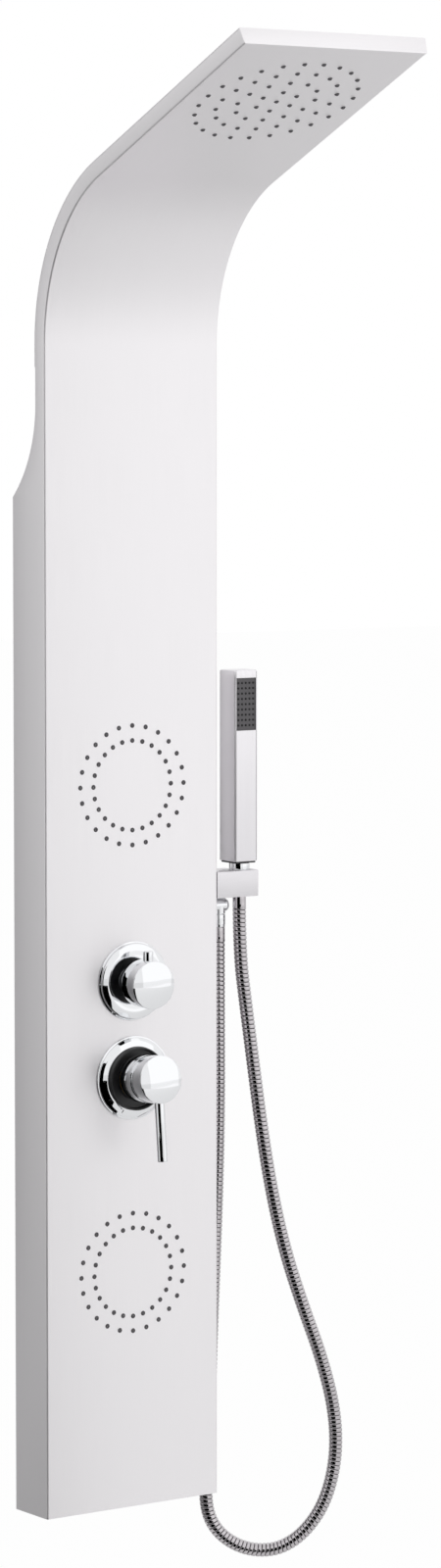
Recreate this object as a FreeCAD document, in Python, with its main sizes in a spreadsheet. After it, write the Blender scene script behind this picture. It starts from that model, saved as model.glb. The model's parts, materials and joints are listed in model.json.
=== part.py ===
"""Shower panel column: a folded metal column that bends forward into the shower head.

World frame: +X to the right of someone facing the panel, +Y into the wall, +Z up, in millimetres.
The origin lies on the wall plane, midway between the two upper wall screws. Heights in the sheet
are measured from the bottom edge of the column. "Out" means the distance in front of the face.
"""
import FreeCAD, Part
import math
import os
import re
import Sketcher

Vector = FreeCAD.Vector
Rotation = FreeCAD.Rotation
Placement = FreeCAD.Placement
X_AXIS = Vector(1, 0, 0)

doc = FreeCAD.newDocument("ShowerPanel")
sheet = doc.addObject("Spreadsheet::Sheet", "Sizes")

SIZES = {
    # folded column
    "column_width": 200,
    "column_depth": 53,
    "side_flare": 0.12,
    "sheet_gauge": 1.5,
    "fold_flat": 1.0,
    "bend_height": 1173,
    "bend_radius": 170,
    "arm_rise": 22,
    "arm_length": 283,
    "flange_depth": 15,
    "notch_radius": 130,
    "notch_height": 1113.5,
    "cover_gauge": 1.2,
    "cover_height": 1150,
    "end_cap_gauge": 1.5,
    # clearances
    "free_gap": 0.3,
    "running_gap": 0.05,
    # wall fixings
    "hanger_height": 960,
    "lower_fixing_height": 90,
    "wall_hole_spacing": 80,
    "wall_hole_radius": 3.3,
    "wall_plate_width": 120,
    "wall_plate_drop": 28,
    "wall_plate_gauge": 3,
    "hook_reach": 10,
    "hook_rise": 16,
    "hook_lip": 9,
    "bar_gauge": 2,
    "bar_drop": 20,
    "bar_play": 2,
    "bar_flange": 9,
    # nozzles of the head and of the two jet rings
    "nozzle_hole_radius": 2.5,
    "nozzle_root_radius": 2.2,
    "nozzle_tip_radius": 1.7,
    "nozzle_reach": 1.2,
    "nozzle_bore_radius": 0.6,
    "mat_gauge": 2,
    "head_ring_step": 19.6,
    "head_ring_count": 4,
    "head_ring_turn": -10.9,
    "head_centre_inset": 111.5,
    "head_chamber_margin": 9.5,
    "head_chamber_height": 9.5,
    "chamber_wall": 2,
    "upper_jet_rise": 197,
    "lower_jet_height": 240,
    "jet_outer_ring_radius": 60,
    "jet_inner_ring_radius": 45,
    "jet_count": 24,
    "manifold_margin": 8,
    "manifold_depth": 12,
    # hoses and pipes inside the column
    "feed_radius": 5,
    "feed_bore_radius": 3.5,
    "feed_bend_radius": 30,
    "pipe_bend_radius": 14,
    "nipple_radius": 5.5,
    "nipple_length": 10,
    "stub_radius": 9,
    "nut_radius": 8.5,
    "nut_overlap": 8,
    "nut_length": 14,
    "ferrule_wall": 1.5,
    "ferrule_length": 16,
    "row_setback": 27,
    "barb_length": 12,
    "barb_root": 17,
    "barb_bore_radius": 2.2,
    "head_feed_inset": 8.25,
    "head_feed_jog_low": 985,
    "head_feed_jog_high": 1060,
    "jog_length": 34,
    "jog_straight": 26,
    # diverter
    "valve_spacing": 98,
    "diverter_body_radius": 24,
    "diverter_body_depth": 40,
    "diverter_neck_radius": 16.4,
    "neck_out": 5,
    "clamp_nut_out": 4.5,
    "diverter_clamp_radius": 24,
    "diverter_cartridge_radius": 13.2,
    "diverter_chamber_depth": 34,
    "cartridge_seat_depth": 30,
    "spindle_radius": 4,
    "spindle_depth": 11.5,
    "spindle_out": 33,
    "spindle_collar_radius": 7,
    "collar_length": 1.7,
    "gland_depth": 1,
    "gland_head_radius": 15,
    "gland_out": 10,
    "port_spread": 14,
    "port_rise": 26,
    "side_port_inset": 38,
    "lower_port_reach": 62,
    "side_port_rise": 24,
    "arm_tube_radius": 10,
    "arm_tube_cap": 10,
    "diverter_plate_radius": 40,
    "diverter_plate_out": 7,
    "plate_wall": 1.5,
    "knob_radius": 24,
    "knob_wall": 3,
    "knob_back_out": 19,
    "knob_rim_out": 42,
    "knob_dome": 3,
    "knob_edge": 1,
    "knob_skirt_radius": 11,
    "knob_hub_radius": 8,
    "knob_pin_radius": 5,
    "knob_pin_out": 30.5,
    "knob_pin_length": 33.2,
    "knob_grub_out": 27.5,
    "grub_radius": 2,
    "grub_length": 6,
    # mixer
    "mixer_height": 438,
    "mixer_body_radius": 27,
    "mixer_body_depth": 40,
    "mixer_neck_radius": 21.7,
    "mixer_clamp_radius": 30,
    "mixer_cartridge_radius": 17.6,
    "mixer_cartridge_depth": 33.5,
    "mixer_cartridge_out": 1.5,
    "mixer_nut_radius": 20,
    "mixer_nut_bore": 13,
    "mixer_nut_out": 8,
    "rotor_journal_radius": 8,
    "rotor_journal_depth": 13.5,
    "rotor_slot_half": 5.3,
    "rotor_slot_out": 0.6,
    "tilt_pivot_out": 5,
    "pivot_pin_radius": 1.5,
    "pivot_pin_length": 24,
    "stem_radius": 5,
    "stem_eye_radius": 3.8,
    "stem_reach": 41,
    "stem_eye_half": 4.4,
    "lever_hub_back": 15,
    "lever_rest_tilt": 6,
    "lever_back": 9,
    "lever_rim": 51,
    "lever_groove": 30,
    "lever_groove_width": 1.2,
    "lever_groove_depth": 0.8,
    "lever_pin_out": 45,
    "lever_pin_length": 82,
    "lever_grub_out": 25,
    "mixer_plate_radius": 42.3,
    "mixer_plate_out": 6.5,
    "mixer_collar_radius": 32,
    "mixer_collar_bore": 30.2,
    "mixer_collar_out": 12,
    "collar_underside": 3.4,
    "inlet_spread": 40,
    "inlet_tube_radius": 12,
    "inlet_tube_cap": 11.5,
    "inlet_bore_radius": 6,
    "inlet_drop": 30,
    "inlet_plug_radius": 8,
    "inlet_plug_length": 10,
    "inlet_collar_radius": 13,
    "inlet_collar_height": 8,
    "inlet_thread_radius": 10.475,
    "inlet_thread_length": 14,
    "check_valve_radius": 7,
    "check_valve_length": 16,
    "check_valve_seat": 2,
    "link_stub_radius": 12,
    "link_stub_rise": 28,
    "link_pipe_radius": 8,
    "link_nut_radius": 12.5,
    "waterway_radius": 5,
    # outlet elbow on the right side
    "elbow_axis_overhang": 17.8,
    "elbow_radius": 7.5,
    "elbow_end_overhang": 28,
    "elbow_end_round": 3.5,
    "elbow_inner_inset": 20,
    "elbow_thread_inset": 10,
    "elbow_spout_drop": 7.5,
    "elbow_flange_radius": 9.9,
    "elbow_flange_length": 3,
    "elbow_lock_radius": 10.5,
    "elbow_lock_length": 6,
    "washer_gauge": 1,
    # shower hose
    "hose_radius": 7,
    "hose_bore_radius": 4.5,
    "hose_valley": 0.8,
    "hose_rib_count": 196,
    "supply_nut_length": 15,
    "supply_nut_overlap": 8,
    # handset and its holder
    "handset_overhang": 36.6,
    "handset_setback": 16.5,
    "holder_end_overhang": 49.6,
    "holder_depth": 33,
    "holder_rise": 76.8,
    "holder_height": 26.8,
    "holder_slot_half": 7.6,
    "holder_edge_round": 1.5,
    "holder_screw_radius": 2.5,
    "holder_screw_head": 4.5,
    "holder_head_gauge": 2.5,
    "holder_screw_inset": 8.5,
    "holder_screw_spread": 17,
    "holder_screw_length": 18,
    "cone_bottom_radius": 9,
    "cone_top_radius": 10.75,
    "cone_bore_radius": 7.1,
    "cone_thread_radius": 8.1,
    "cone_neck_rise": 7,
    "ferrule_stem_radius": 6.8,
    "ferrule_flange_radius": 7.8,
    "hose_end_rise": 1.4,
    "ferrule_stem_rise": 16.8,
    "ferrule_flange_length": 2.8,
    "seal_gauge": 2,
    "handset_height": 195.7,
    "handset_width": 27.3,
    "handset_depth": 27,
    "handset_flare": 0.09,
    "handset_wall": 1.2,
    "handset_edge": 1,
    "handset_plug_gauge": 1.6,
    "handset_plug_inset": 1.4,
    "face_window_top": 7.9,
    "face_window_height": 53.6,
    "face_recess": 1,
    "face_plate_gauge": 2.5,
    "face_columns": 5,
    "face_rows": 9,
    "face_column_step": 4.4,
    "face_row_step": 5.4,
    "face_hole_radius": 0.9,
    "face_nozzle_reach": 0.8,
    "spray_chamber_depth": 15.5,
    "handset_tube_radius": 5,
}

for row, (alias, value) in enumerate(SIZES.items(), 1):
    sheet.set("A%d" % row, alias.replace("_", " "))
    sheet.set("B%d" % row, str(value))
    sheet.setAlias("B%d" % row, alias)
doc.recompute()

ALIAS = re.compile(r"(?<![\w.])(%s)(?!\w)" % "|".join(sorted(SIZES, key=len, reverse=True)))
FINISHED = []


# ---- named places, written as formulas of the sheet ----

def at(height):
    """World Z of a height above the bottom edge of the column."""
    return "(%s - hanger_height)" % height


def out(distance):
    """World Y of a point that lies a distance in front of the column's face."""
    return "(-column_depth - (%s))" % distance


def side_x(y, inset="0"):
    """World X of the right side's outer face at a world Y, less an inset across the sheet."""
    lean = "sqrt(1 + side_flare * side_flare)"
    return "(column_width / 2 + side_flare * (%s + column_depth) - (%s) * %s)" % (y, inset, lean)


FRONT = "(-column_depth)"
INNER_FACE = out("-sheet_gauge")
FLANGE_BACK = "(-column_depth + flange_depth)"
ROW_Y = out("-row_setback")
BEND_Z = at("bend_height")
ARM_TURN = "(90 - arm_rise)"
BEND_CENTRE_Y = "(-column_depth - bend_radius)"
HEAD_U = "(arm_length + end_cap_gauge - head_centre_inset)"
HEAD_CHAMBER_RADIUS = "(head_ring_step * head_ring_count + head_chamber_margin)"
MAT_IN = "(sheet_gauge + mat_gauge)"
MANIFOLD_MID_OUT = "(-%s - manifold_depth / 2)" % MAT_IN
MANIFOLD_OUTER = "(jet_outer_ring_radius + manifold_margin)"
MANIFOLD_INNER = "(jet_inner_ring_radius - manifold_margin)"
HANDSET_Y = out("-handset_setback")
HEAD_FEED_END = "(%s - %s - free_gap)" % (HEAD_U, HEAD_CHAMBER_RADIUS)
DIVERTER_HEIGHT = "(mixer_height + valve_spacing)"
UPPER_JET_HEIGHT = "(%s + upper_jet_rise)" % DIVERTER_HEIGHT
HOLDER_BOTTOM = "(%s + holder_rise)" % DIVERTER_HEIGHT
SIDE_PORT_X = "(column_width / 2 - side_port_inset)"
ELBOW_AXIS_X = "(column_width / 2 + elbow_axis_overhang)"
ELBOW_END_X = "(column_width / 2 + elbow_end_overhang)"
ELBOW_INNER_X = "(column_width / 2 - elbow_inner_inset)"
ELBOW_THREAD_X = "(column_width / 2 - elbow_thread_inset)"
HANDSET_X = "(column_width / 2 + handset_overhang)"
HOLDER_END_X = "(column_width / 2 + holder_end_overhang)"
ELBOW_HEIGHT = "(%s - elbow_flange_radius - free_gap)" % HOLDER_BOTTOM
HOSE_END = "(%s + hose_end_rise)" % HOLDER_BOTTOM
FERRULE_SHOULDER = "(%s + ferrule_stem_rise)" % HOLDER_BOTTOM
FERRULE_TOP = "(%s + ferrule_flange_length)" % FERRULE_SHOULDER
CONE_TOP = "(%s + holder_height + cone_neck_rise)" % HOLDER_BOTTOM
HANDSET_BOTTOM = "(%s + handset_plug_gauge + 2 * running_gap)" % CONE_TOP
HOLDER_SCREW_Z = at(HOLDER_BOTTOM) + " + holder_height / 2"
HOLDER_SCREW_YS = (
    FRONT + " + holder_screw_inset",
    FRONT + " + holder_screw_inset + holder_screw_spread",
)


# ---- small helpers that make bound objects ----

def named(text):
    """The same formula with each size name pointing at its cell in the sheet."""
    return ALIAS.sub(r"Sizes.\1", str(text))


def value(text):
    """The number that a formula of the sheet gives now."""
    return float(sheet.evalExpression(named(text)))


def bind(obj, **formulas):
    """Bind properties of an object to formulas of the sheet."""
    for prop, text in formulas.items():
        obj.setExpression(prop, named(text))
    return obj


def put(obj, x="0", y="0", z="0", turn=None):
    """Place an object by formulas, with an optional turn about the X axis in degrees."""
    if turn is not None:
        obj.Placement = Placement(Vector(), Rotation(X_AXIS, 1))
        obj.setExpression("Placement.Rotation.Angle", named(turn))
    for axis, text in zip("xyz", (x, y, z)):
        obj.setExpression("Placement.Base." + axis, named(text))
    return obj


def finish(obj, label):
    """Give a finished sub-part the name under which it is kept."""
    obj.Label = label
    FINISHED.append(obj)
    return obj


AIM = {
    "+x": Rotation(Vector(0, 1, 0), 90), "-x": Rotation(Vector(0, 1, 0), -90),
    "+y": Rotation(X_AXIS, -90), "-y": Rotation(X_AXIS, 90),
    "+z": Rotation(), "-z": Rotation(X_AXIS, 180),
}


def rod(name, aim, radius, length, x, y, z):
    """A round bar that starts at a point and runs along one of the six directions."""
    obj = doc.addObject("Part::Cylinder", name)
    obj.Placement = Placement(Vector(), AIM[aim])
    bind(obj, Radius=radius, Height=length)
    return put(obj, x, y, z)


def taper(name, aim, radius_start, radius_end, length, x, y, z):
    """A round bar whose radius changes evenly from its start to its end."""
    obj = doc.addObject("Part::Cone", name)
    obj.Placement = Placement(Vector(), AIM[aim])
    bind(obj, Radius1=radius_start, Radius2=radius_end, Height=length)
    return put(obj, x, y, z)


def block(name, x_range, y_range, z_range):
    """A rectangular block between pairs of formulas."""
    obj = doc.addObject("Part::Box", name)
    sizes = ["(%s) - (%s)" % (high, low) for low, high in (x_range, y_range, z_range)]
    bind(obj, Length=sizes[0], Width=sizes[1], Height=sizes[2])
    return put(obj, x_range[0], y_range[0], z_range[0])


def fuse(name, *pieces):
    """One piece joined from several."""
    obj = doc.addObject("Part::MultiFuse", name)
    obj.Shapes = list(pieces)
    return obj


def cut(name, base, *tools):
    """A piece less one or more tools."""
    obj = doc.addObject("Part::Cut", name)
    obj.Base = base
    obj.Tool = tools[0] if len(tools) == 1 else fuse(name + "_tools", *tools)
    return obj


def shaped(name, shape):
    """A piece whose shape is made directly from curves and solids."""
    obj = doc.addObject("Part::Feature", name)
    obj.Shape = shape
    return obj


def group(name, pieces):
    """Several identical solids that share one node."""
    obj = doc.addObject("Part::Compound", name)
    obj.Links = list(pieces)
    return obj


def plane_of(body, role):
    """One of a body's own origin planes."""
    return [plane for plane in body.Origin.OriginFeatures if plane.Role == role][0]


def outline(body, name, role, points):
    """A closed sketch through points given as pairs of formulas."""
    sketch = body.newObject("Sketcher::SketchObject", name)
    sketch.AttachmentSupport = [(plane_of(body, role), "")]
    sketch.MapMode = "FlatFace"
    places = [Vector(value(u), value(v), 0) for u, v in points]
    count = len(points)
    for index in range(count):
        sketch.addGeometry(Part.LineSegment(places[index], places[(index + 1) % count]))
    for index in range(count):
        follower = (index + 1) % count
        sketch.addConstraint(Sketcher.Constraint("Coincident", index, 2, follower, 1))
    for index, (point, place) in enumerate(zip(points, places)):
        for kind, text, amount in zip(("DistanceX", "DistanceY"), point, (place.x, place.y)):
            number = sketch.addConstraint(Sketcher.Constraint(kind, -1, 1, index, 1, amount))
            sketch.setExpression("Constraints[%d]" % number, named(text))
    return sketch


def prism(name, role, points, length, offset="0"):
    """A body padded from an outline, starting at an offset from its plane."""
    body = doc.addObject("PartDesign::Body", name)
    sketch = outline(body, name + "_outline", role, points)
    sketch.setExpression("AttachmentOffset.Base.z", named(offset))
    pad = body.newObject("PartDesign::Pad", name + "_pad")
    pad.Profile = sketch
    bind(pad, Length=length)
    return body


def turned(name, points):
    """A body revolved about its own Z axis from an outline of (radius, distance) pairs."""
    body = doc.addObject("PartDesign::Body", name)
    sketch = outline(body, name + "_outline", "XZ_Plane", points)
    spin = body.newObject("PartDesign::Revolution", name + "_spin")
    spin.Profile = sketch
    spin.ReferenceAxis = (sketch, ["V_Axis"])
    spin.Angle = 360
    return body


def washer_points(inner, outer, low, high):
    """Outline of a plain ring between two radii and two distances."""
    return [(inner, low), (outer, low), (outer, high), (inner, high)]


def on_face(obj, height):
    """Place a turned piece so that its axis points out of the column's face."""
    return put(obj, "0", FRONT, at(height), "90")


def on_arm(obj, along="0"):
    """Place a piece that was drawn as if the column went on straight, on the raised arm."""
    y = "%s + (column_depth + bend_radius) * cos(%s) - (%s) * sin(%s)"
    z = "%s + (column_depth + bend_radius) * sin(%s) + (%s) * cos(%s)"
    return put(obj, "0", y % (BEND_CENTRE_Y, ARM_TURN, along, ARM_TURN),
               z % (BEND_Z, ARM_TURN, along, ARM_TURN), ARM_TURN)


def on_arm_face(obj, along):
    """Place a turned piece so that its axis points out of the arm's underside."""
    y = "%s + bend_radius * cos(%s) - (%s) * sin(%s)"
    z = "%s + bend_radius * sin(%s) + (%s) * cos(%s)"
    return put(obj, "0", y % (BEND_CENTRE_Y, ARM_TURN, along, ARM_TURN),
               z % (BEND_Z, ARM_TURN, along, ARM_TURN), ARM_TURN + " + 90")


# ---- folded column, its back cover and its end cap ----

def both_sides(right):
    """A closed outline from its right half, mirrored about the middle of the column."""
    return right + [("-(%s)" % x, y) for x, y in reversed(right)]


def u_section(back_y):
    """The front sheet with a leaning side at each end, open to the wall."""
    folded_y = FRONT + " + fold_flat"
    return both_sides([
        ("column_width / 2 - fold_flat", FRONT),
        (side_x(folded_y), folded_y),
        (side_x(back_y), back_y),
        (side_x(back_y, "sheet_gauge"), back_y),
        (side_x(INNER_FACE, "sheet_gauge"), INNER_FACE),
    ])


def along_column(name, low_section, thin_section, start_z):
    """A body that climbs the column, goes round the bend and runs out along the arm."""
    body = doc.addObject("PartDesign::Body", name)
    low = outline(body, name + "_low_outline", "XY_Plane", low_section)
    low.setExpression("AttachmentOffset.Base.z", named(start_z))
    climb = body.newObject("PartDesign::Pad", name + "_climb")
    climb.Profile = low
    bind(climb, Length="%s - %s" % (BEND_Z, start_z))

    bend_outline = outline(body, name + "_bend_outline", "XY_Plane", thin_section)
    bend_outline.setExpression("AttachmentOffset.Base.z", named(BEND_Z))
    axis_y = value(BEND_CENTRE_Y)
    ends = (Vector(0, axis_y, 0), Vector(value("column_width"), axis_y, 0))
    axis = bend_outline.addGeometry(Part.LineSegment(*ends), True)
    for corner, length in ((1, "0"), (2, "column_width")):
        for kind, text in (("DistanceX", length), ("DistanceY", BEND_CENTRE_Y)):
            number = bend_outline.addConstraint(
                Sketcher.Constraint(kind, -1, 1, axis, corner, value(text)))
            bend_outline.setExpression("Constraints[%d]" % number, named(text))
    bend = body.newObject("PartDesign::Revolution", name + "_bend")
    bend.Profile = bend_outline
    bend.ReferenceAxis = (bend_outline, ["Axis0"])
    bind(bend, Angle=ARM_TURN)

    arm_outline = outline(body, name + "_arm_outline", "XY_Plane", thin_section)
    arm_outline.AttachmentOffset = Placement(Vector(), Rotation(X_AXIS, 1))
    shift = "(column_depth + bend_radius)"
    for path, text in (
        ("Rotation.Angle", ARM_TURN),
        ("Base.y", "%s + %s * cos(%s)" % (BEND_CENTRE_Y, shift, ARM_TURN)),
        ("Base.z", "%s + %s * sin(%s)" % (BEND_Z, shift, ARM_TURN)),
    ):
        arm_outline.setExpression("AttachmentOffset." + path, named(text))
    arm = body.newObject("PartDesign::Pad", name + "_arm")
    arm.Profile = arm_outline
    bind(arm, Length="arm_length")
    return body


def side_slab(name, inset_low, inset_high, height):
    """A slab that follows the right side's lean, between two insets, about a height."""
    low_y = ROW_Y + " - column_depth"
    high_y = ROW_Y + " + column_depth"
    points = [(side_x(low_y, inset_high), low_y), (side_x(low_y, inset_low), low_y),
              (side_x(high_y, inset_low), high_y), (side_x(high_y, inset_high), high_y)]
    return prism(name, "XY_Plane", points, "2 * column_depth", at(height) + " - column_depth")


def ring_places(radius, count, turn=0.0):
    """Places evenly round a ring, clockwise from the top as seen from in front."""
    angles = [math.radians(turn + 360 * index / count) for index in range(count)]
    return [Vector(radius * math.sin(angle), radius * math.cos(angle), 0) for angle in angles]


def head_places():
    """One nozzle in the middle of the head and six more in each ring outwards."""
    places = [Vector(0, 0, 0)]
    for ring in range(1, round(value("head_ring_count")) + 1):
        radius = ring * value("head_ring_step")
        places += ring_places(radius, 6 * ring, value("head_ring_turn"))
    return places


def jet_places():
    """The two rings of nozzles of one body jet."""
    count = round(value("jet_count"))
    return [place for radius in ("jet_outer_ring_radius", "jet_inner_ring_radius")
            for place in ring_places(value(radius), count)]


def nozzle_holes(name, places):
    """The holes that the nozzles of a mat pass through."""
    radius = value("nozzle_hole_radius")
    gauge = value("sheet_gauge")
    holes = [Part.makeCylinder(radius, 3 * gauge, place - Vector(0, 0, 2 * gauge))
             for place in places]
    return shaped(name, Part.makeCompound(holes))


def nozzle_mat(name, places, outer, inner=None):
    """A soft mat with a hollow nozzle standing on it at each place."""
    back = -value(MAT_IN)
    gauge = value("mat_gauge")
    mat = Part.makeCylinder(value(outer), gauge, Vector(0, 0, back))
    if inner is not None:
        mat = mat.cut(Part.makeCylinder(value(inner), gauge, Vector(0, 0, back)))
    start = back + gauge / 2
    reach = value("nozzle_reach")
    root = value("nozzle_root_radius")
    tip = value("nozzle_tip_radius")
    bore = value("nozzle_bore_radius")
    cones = [Part.makeCone(root, tip, reach - start, place + Vector(0, 0, start))
             for place in places]
    bores = [Part.makeCylinder(bore, 2 * (reach - back), place + Vector(0, 0, 2 * back))
             for place in places]
    return shaped(name, mat.fuse(cones).cut(bores))


def make_column():
    """The folded sheet with its notch, its nozzle holes and the holes for the fittings."""
    shell = along_column("column_sheet", u_section("0"), u_section(FLANGE_BACK), at("0"))
    floor = both_sides([(side_x(INNER_FACE, "sheet_gauge / 2"), FRONT + " + sheet_gauge / 2"),
                        (side_x("0", "sheet_gauge / 2"), "0")])
    floor_outline = outline(shell, "column_floor_outline", "XY_Plane", floor)
    floor_outline.setExpression("AttachmentOffset.Base.z", named(at("0")))
    floor_pad = shell.newObject("PartDesign::Pad", "column_floor")
    floor_pad.Profile = floor_outline
    bind(floor_pad, Length="sheet_gauge")

    width = ("-column_width", "column_width")
    notch_round = rod("notch_round", "+x", "notch_radius", "2 * column_width", "-column_width",
                      FLANGE_BACK + " + notch_radius", at("notch_height"))
    notch_top = block("notch_top", width, (FLANGE_BACK, "column_depth"),
                      (at("notch_height"), BEND_Z))
    upper = on_face(nozzle_holes("upper_jet_holes", jet_places()), UPPER_JET_HEIGHT)
    lower = on_face(nozzle_holes("lower_jet_holes", jet_places()), "lower_jet_height")
    head = on_arm_face(nozzle_holes("head_holes", head_places()), HEAD_U)
    necks = [
        rod(name, "-y", "%s + free_gap" % radius, "4 * sheet_gauge", "0",
            FRONT + " + 2 * sheet_gauge", at(height))
        for name, radius, height in (
            ("diverter_hole", "diverter_neck_radius", DIVERTER_HEIGHT),
            ("mixer_hole", "mixer_neck_radius", "mixer_height"))
    ]
    elbow = rod("elbow_hole", "+x", "elbow_radius + free_gap", "column_width / 4",
                "column_width / 2 - column_width / 8", ROW_Y, at(ELBOW_HEIGHT))
    screws = [rod("holder_screw_hole", "+x", "holder_screw_radius + free_gap",
                  "column_width / 4", "column_width / 2 - column_width / 8", y,
                  HOLDER_SCREW_Z) for y in HOLDER_SCREW_YS]
    pierced = cut("column_pierced", shell, notch_round, notch_top, elbow, *necks, *screws)
    finish(cut("column_with_holes", pierced, upper, lower, head), "column_shell")


def make_cover():
    """The back cover that closes the bend and the arm."""
    cover_back = FLANGE_BACK + " + cover_gauge"
    section = both_sides([(side_x(FLANGE_BACK), FLANGE_BACK), (side_x(cover_back), cover_back)])
    finish(along_column("cover", section, section, at("cover_height")), "arm_back_cover")


def make_end_cap():
    """The plate that closes the end of the arm."""
    cover_back = FLANGE_BACK + " + cover_gauge"
    section = both_sides([(side_x(FRONT), FRONT), (side_x(cover_back), cover_back)])
    cap = prism("end_cap", "XY_Plane", section, "end_cap_gauge")
    finish(on_arm(cap, "arm_length"), "arm_end_cap")


# ---- wall fixings ----

def make_wall_fixing(prefix, height):
    """A wall plate with an upturned lip, and the cross bar in the column that hangs on it."""
    hook_bottom = at(height) + " + hook_rise - hook_lip"
    lip_front = "-hook_reach"
    plate_x = ("-wall_plate_width / 2", "wall_plate_width / 2")
    plate = block(prefix + "_plate", plate_x, ("-wall_plate_gauge", "0"),
                  (at(height) + " - wall_plate_drop", hook_bottom + " + wall_plate_gauge"))
    shelf = block(prefix + "_shelf", plate_x, (lip_front, "0"),
                  (hook_bottom, hook_bottom + " + wall_plate_gauge"))
    lip = block(prefix + "_lip", plate_x, (lip_front, lip_front + " + wall_plate_gauge"),
                (hook_bottom, at(height) + " + hook_rise"))
    holes = [rod(prefix + "_hole", "-y", "wall_hole_radius", "2 * hook_reach",
                 "%d * wall_hole_spacing / 2" % side, "hook_reach / 2", at(height))
             for side in (-1, 1)]
    hook = fuse(prefix + "_hook", plate, shelf, lip)
    finish(cut(prefix + "_hook_with_holes", hook, *holes), prefix + "_wall_plate")

    web_front = lip_front + " - bar_play - bar_gauge"
    web_back = lip_front + " - bar_play"
    flange_back = web_front + " + bar_flange"
    rest_z = at(height) + " + hook_rise"
    parts = []
    for name, back, low, high in (
        ("_web", web_back, at(height) + " - bar_drop", rest_z + " + bar_gauge"),
        ("_flange", flange_back, rest_z, rest_z + " + bar_gauge"),
    ):
        section = both_sides([(side_x(web_front, "sheet_gauge"), web_front),
                              (side_x(back, "sheet_gauge"), back)])
        parts.append(prism(prefix + name, "XY_Plane", section, "%s - (%s)" % (high, low), low))
    finish(fuse(prefix + "_bar", *parts), prefix + "_cross_bar")


# ---- head and body jets ----

def make_head():
    """The shallow water chamber in the arm and the nozzle mat that it presses on the sheet."""
    mat = nozzle_mat("head_mat", head_places(), HEAD_CHAMBER_RADIUS)
    finish(on_arm_face(mat, HEAD_U), "head_nozzle_mat")
    back = "-(%s + head_chamber_height)" % MAT_IN
    roof = back + " + chamber_wall"
    rim = HEAD_CHAMBER_RADIUS + " - chamber_wall"
    dish = turned("head_dish", [("0", back), (HEAD_CHAMBER_RADIUS, back),
                                (HEAD_CHAMBER_RADIUS, "-" + MAT_IN), (rim, "-" + MAT_IN),
                                (rim, roof), ("0", roof)])
    on_arm_face(dish, HEAD_U)
    barb, bore = (
        on_arm(prism_round(name, radius, "port_spread", FRONT + " + head_feed_inset",
                           HEAD_FEED_END + " - barb_length", length))
        for name, radius, length in (
            ("head_barb", "feed_bore_radius - running_gap", "barb_length + 2 * chamber_wall"),
            ("head_barb_bore", "barb_bore_radius", "barb_length + 5 * chamber_wall"))
    )
    finish(cut("head_dish_bored", fuse("head_dish_with_barb", dish, barb), bore), "head_chamber")


def prism_round(name, radius, x, y, start, length):
    """A round bar drawn along the column's climb, to be placed on the arm as it is."""
    body = doc.addObject("PartDesign::Body", name)
    sketch = body.newObject("Sketcher::SketchObject", name + "_circle")
    sketch.AttachmentSupport = [(plane_of(body, "XY_Plane"), "")]
    sketch.MapMode = "FlatFace"
    centre = Vector(value(x), value(y), 0)
    sketch.addGeometry(Part.Circle(centre, Vector(0, 0, 1), value(radius)))
    for constraint, text in (
        (Sketcher.Constraint("Radius", 0, value(radius)), radius),
        (Sketcher.Constraint("DistanceX", -1, 1, 0, 3, centre.x), x),
        (Sketcher.Constraint("DistanceY", -1, 1, 0, 3, centre.y), y),
    ):
        number = sketch.addConstraint(constraint)
        sketch.setExpression("Constraints[%d]" % number, named(text))
    sketch.setExpression("AttachmentOffset.Base.z", named(start))
    pad = body.newObject("PartDesign::Pad", name + "_pad")
    pad.Profile = sketch
    bind(pad, Length=length)
    return body


def make_jet(prefix, height, barb_x, side):
    """One ring of body jets: its nozzle mat and the ring channel behind it."""
    mat = nozzle_mat(prefix + "_mat", jet_places(), MANIFOLD_OUTER, MANIFOLD_INNER)
    finish(on_face(mat, height), prefix + "_nozzle_mat")
    back = "-(%s + manifold_depth)" % MAT_IN
    roof = back + " + chamber_wall"
    front = "-" + MAT_IN
    outer_wall = MANIFOLD_OUTER + " - chamber_wall"
    inner_wall = MANIFOLD_INNER + " + chamber_wall"
    channel = turned(prefix + "_channel", [
        (MANIFOLD_INNER, back), (MANIFOLD_OUTER, back), (MANIFOLD_OUTER, front),
        (outer_wall, front), (outer_wall, roof), (inner_wall, roof), (inner_wall, front),
        (MANIFOLD_INNER, front)])
    on_face(channel, height)
    aim = "+z" if side > 0 else "-z"
    start = "%s + (%d) * (%s - barb_root)" % (at(height), side, jet_hose_offset(barb_x))
    barb = rod(prefix + "_barb", aim, "feed_bore_radius - running_gap",
               "barb_length + barb_root", barb_x, out(MANIFOLD_MID_OUT), start)
    bore = rod(prefix + "_barb_bore", aim, "barb_bore_radius",
               "2 * barb_length + barb_root", barb_x, out(MANIFOLD_MID_OUT), start)
    whole = fuse(prefix + "_channel_with_barb", channel, barb)
    finish(cut(prefix + "_channel_bored", whole, bore), prefix + "_manifold")


def jet_hose_offset(barb_x):
    """How far above or below a jet's centre its hose ends, just clear of the ring."""
    near_x = "(abs(%s) - feed_radius - ferrule_wall)" % barb_x
    return ("(sqrt(%s * %s - %s * %s) + free_gap)"
            % (MANIFOLD_OUTER, MANIFOLD_OUTER, near_x, near_x))


# ---- diverter ----

def valve_row(name, aim, radius, length, x, z):
    """A round bar that starts on the row where the valves' ports lie, behind the face."""
    return rod(name, aim, radius, length, x, ROW_Y, z)


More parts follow.
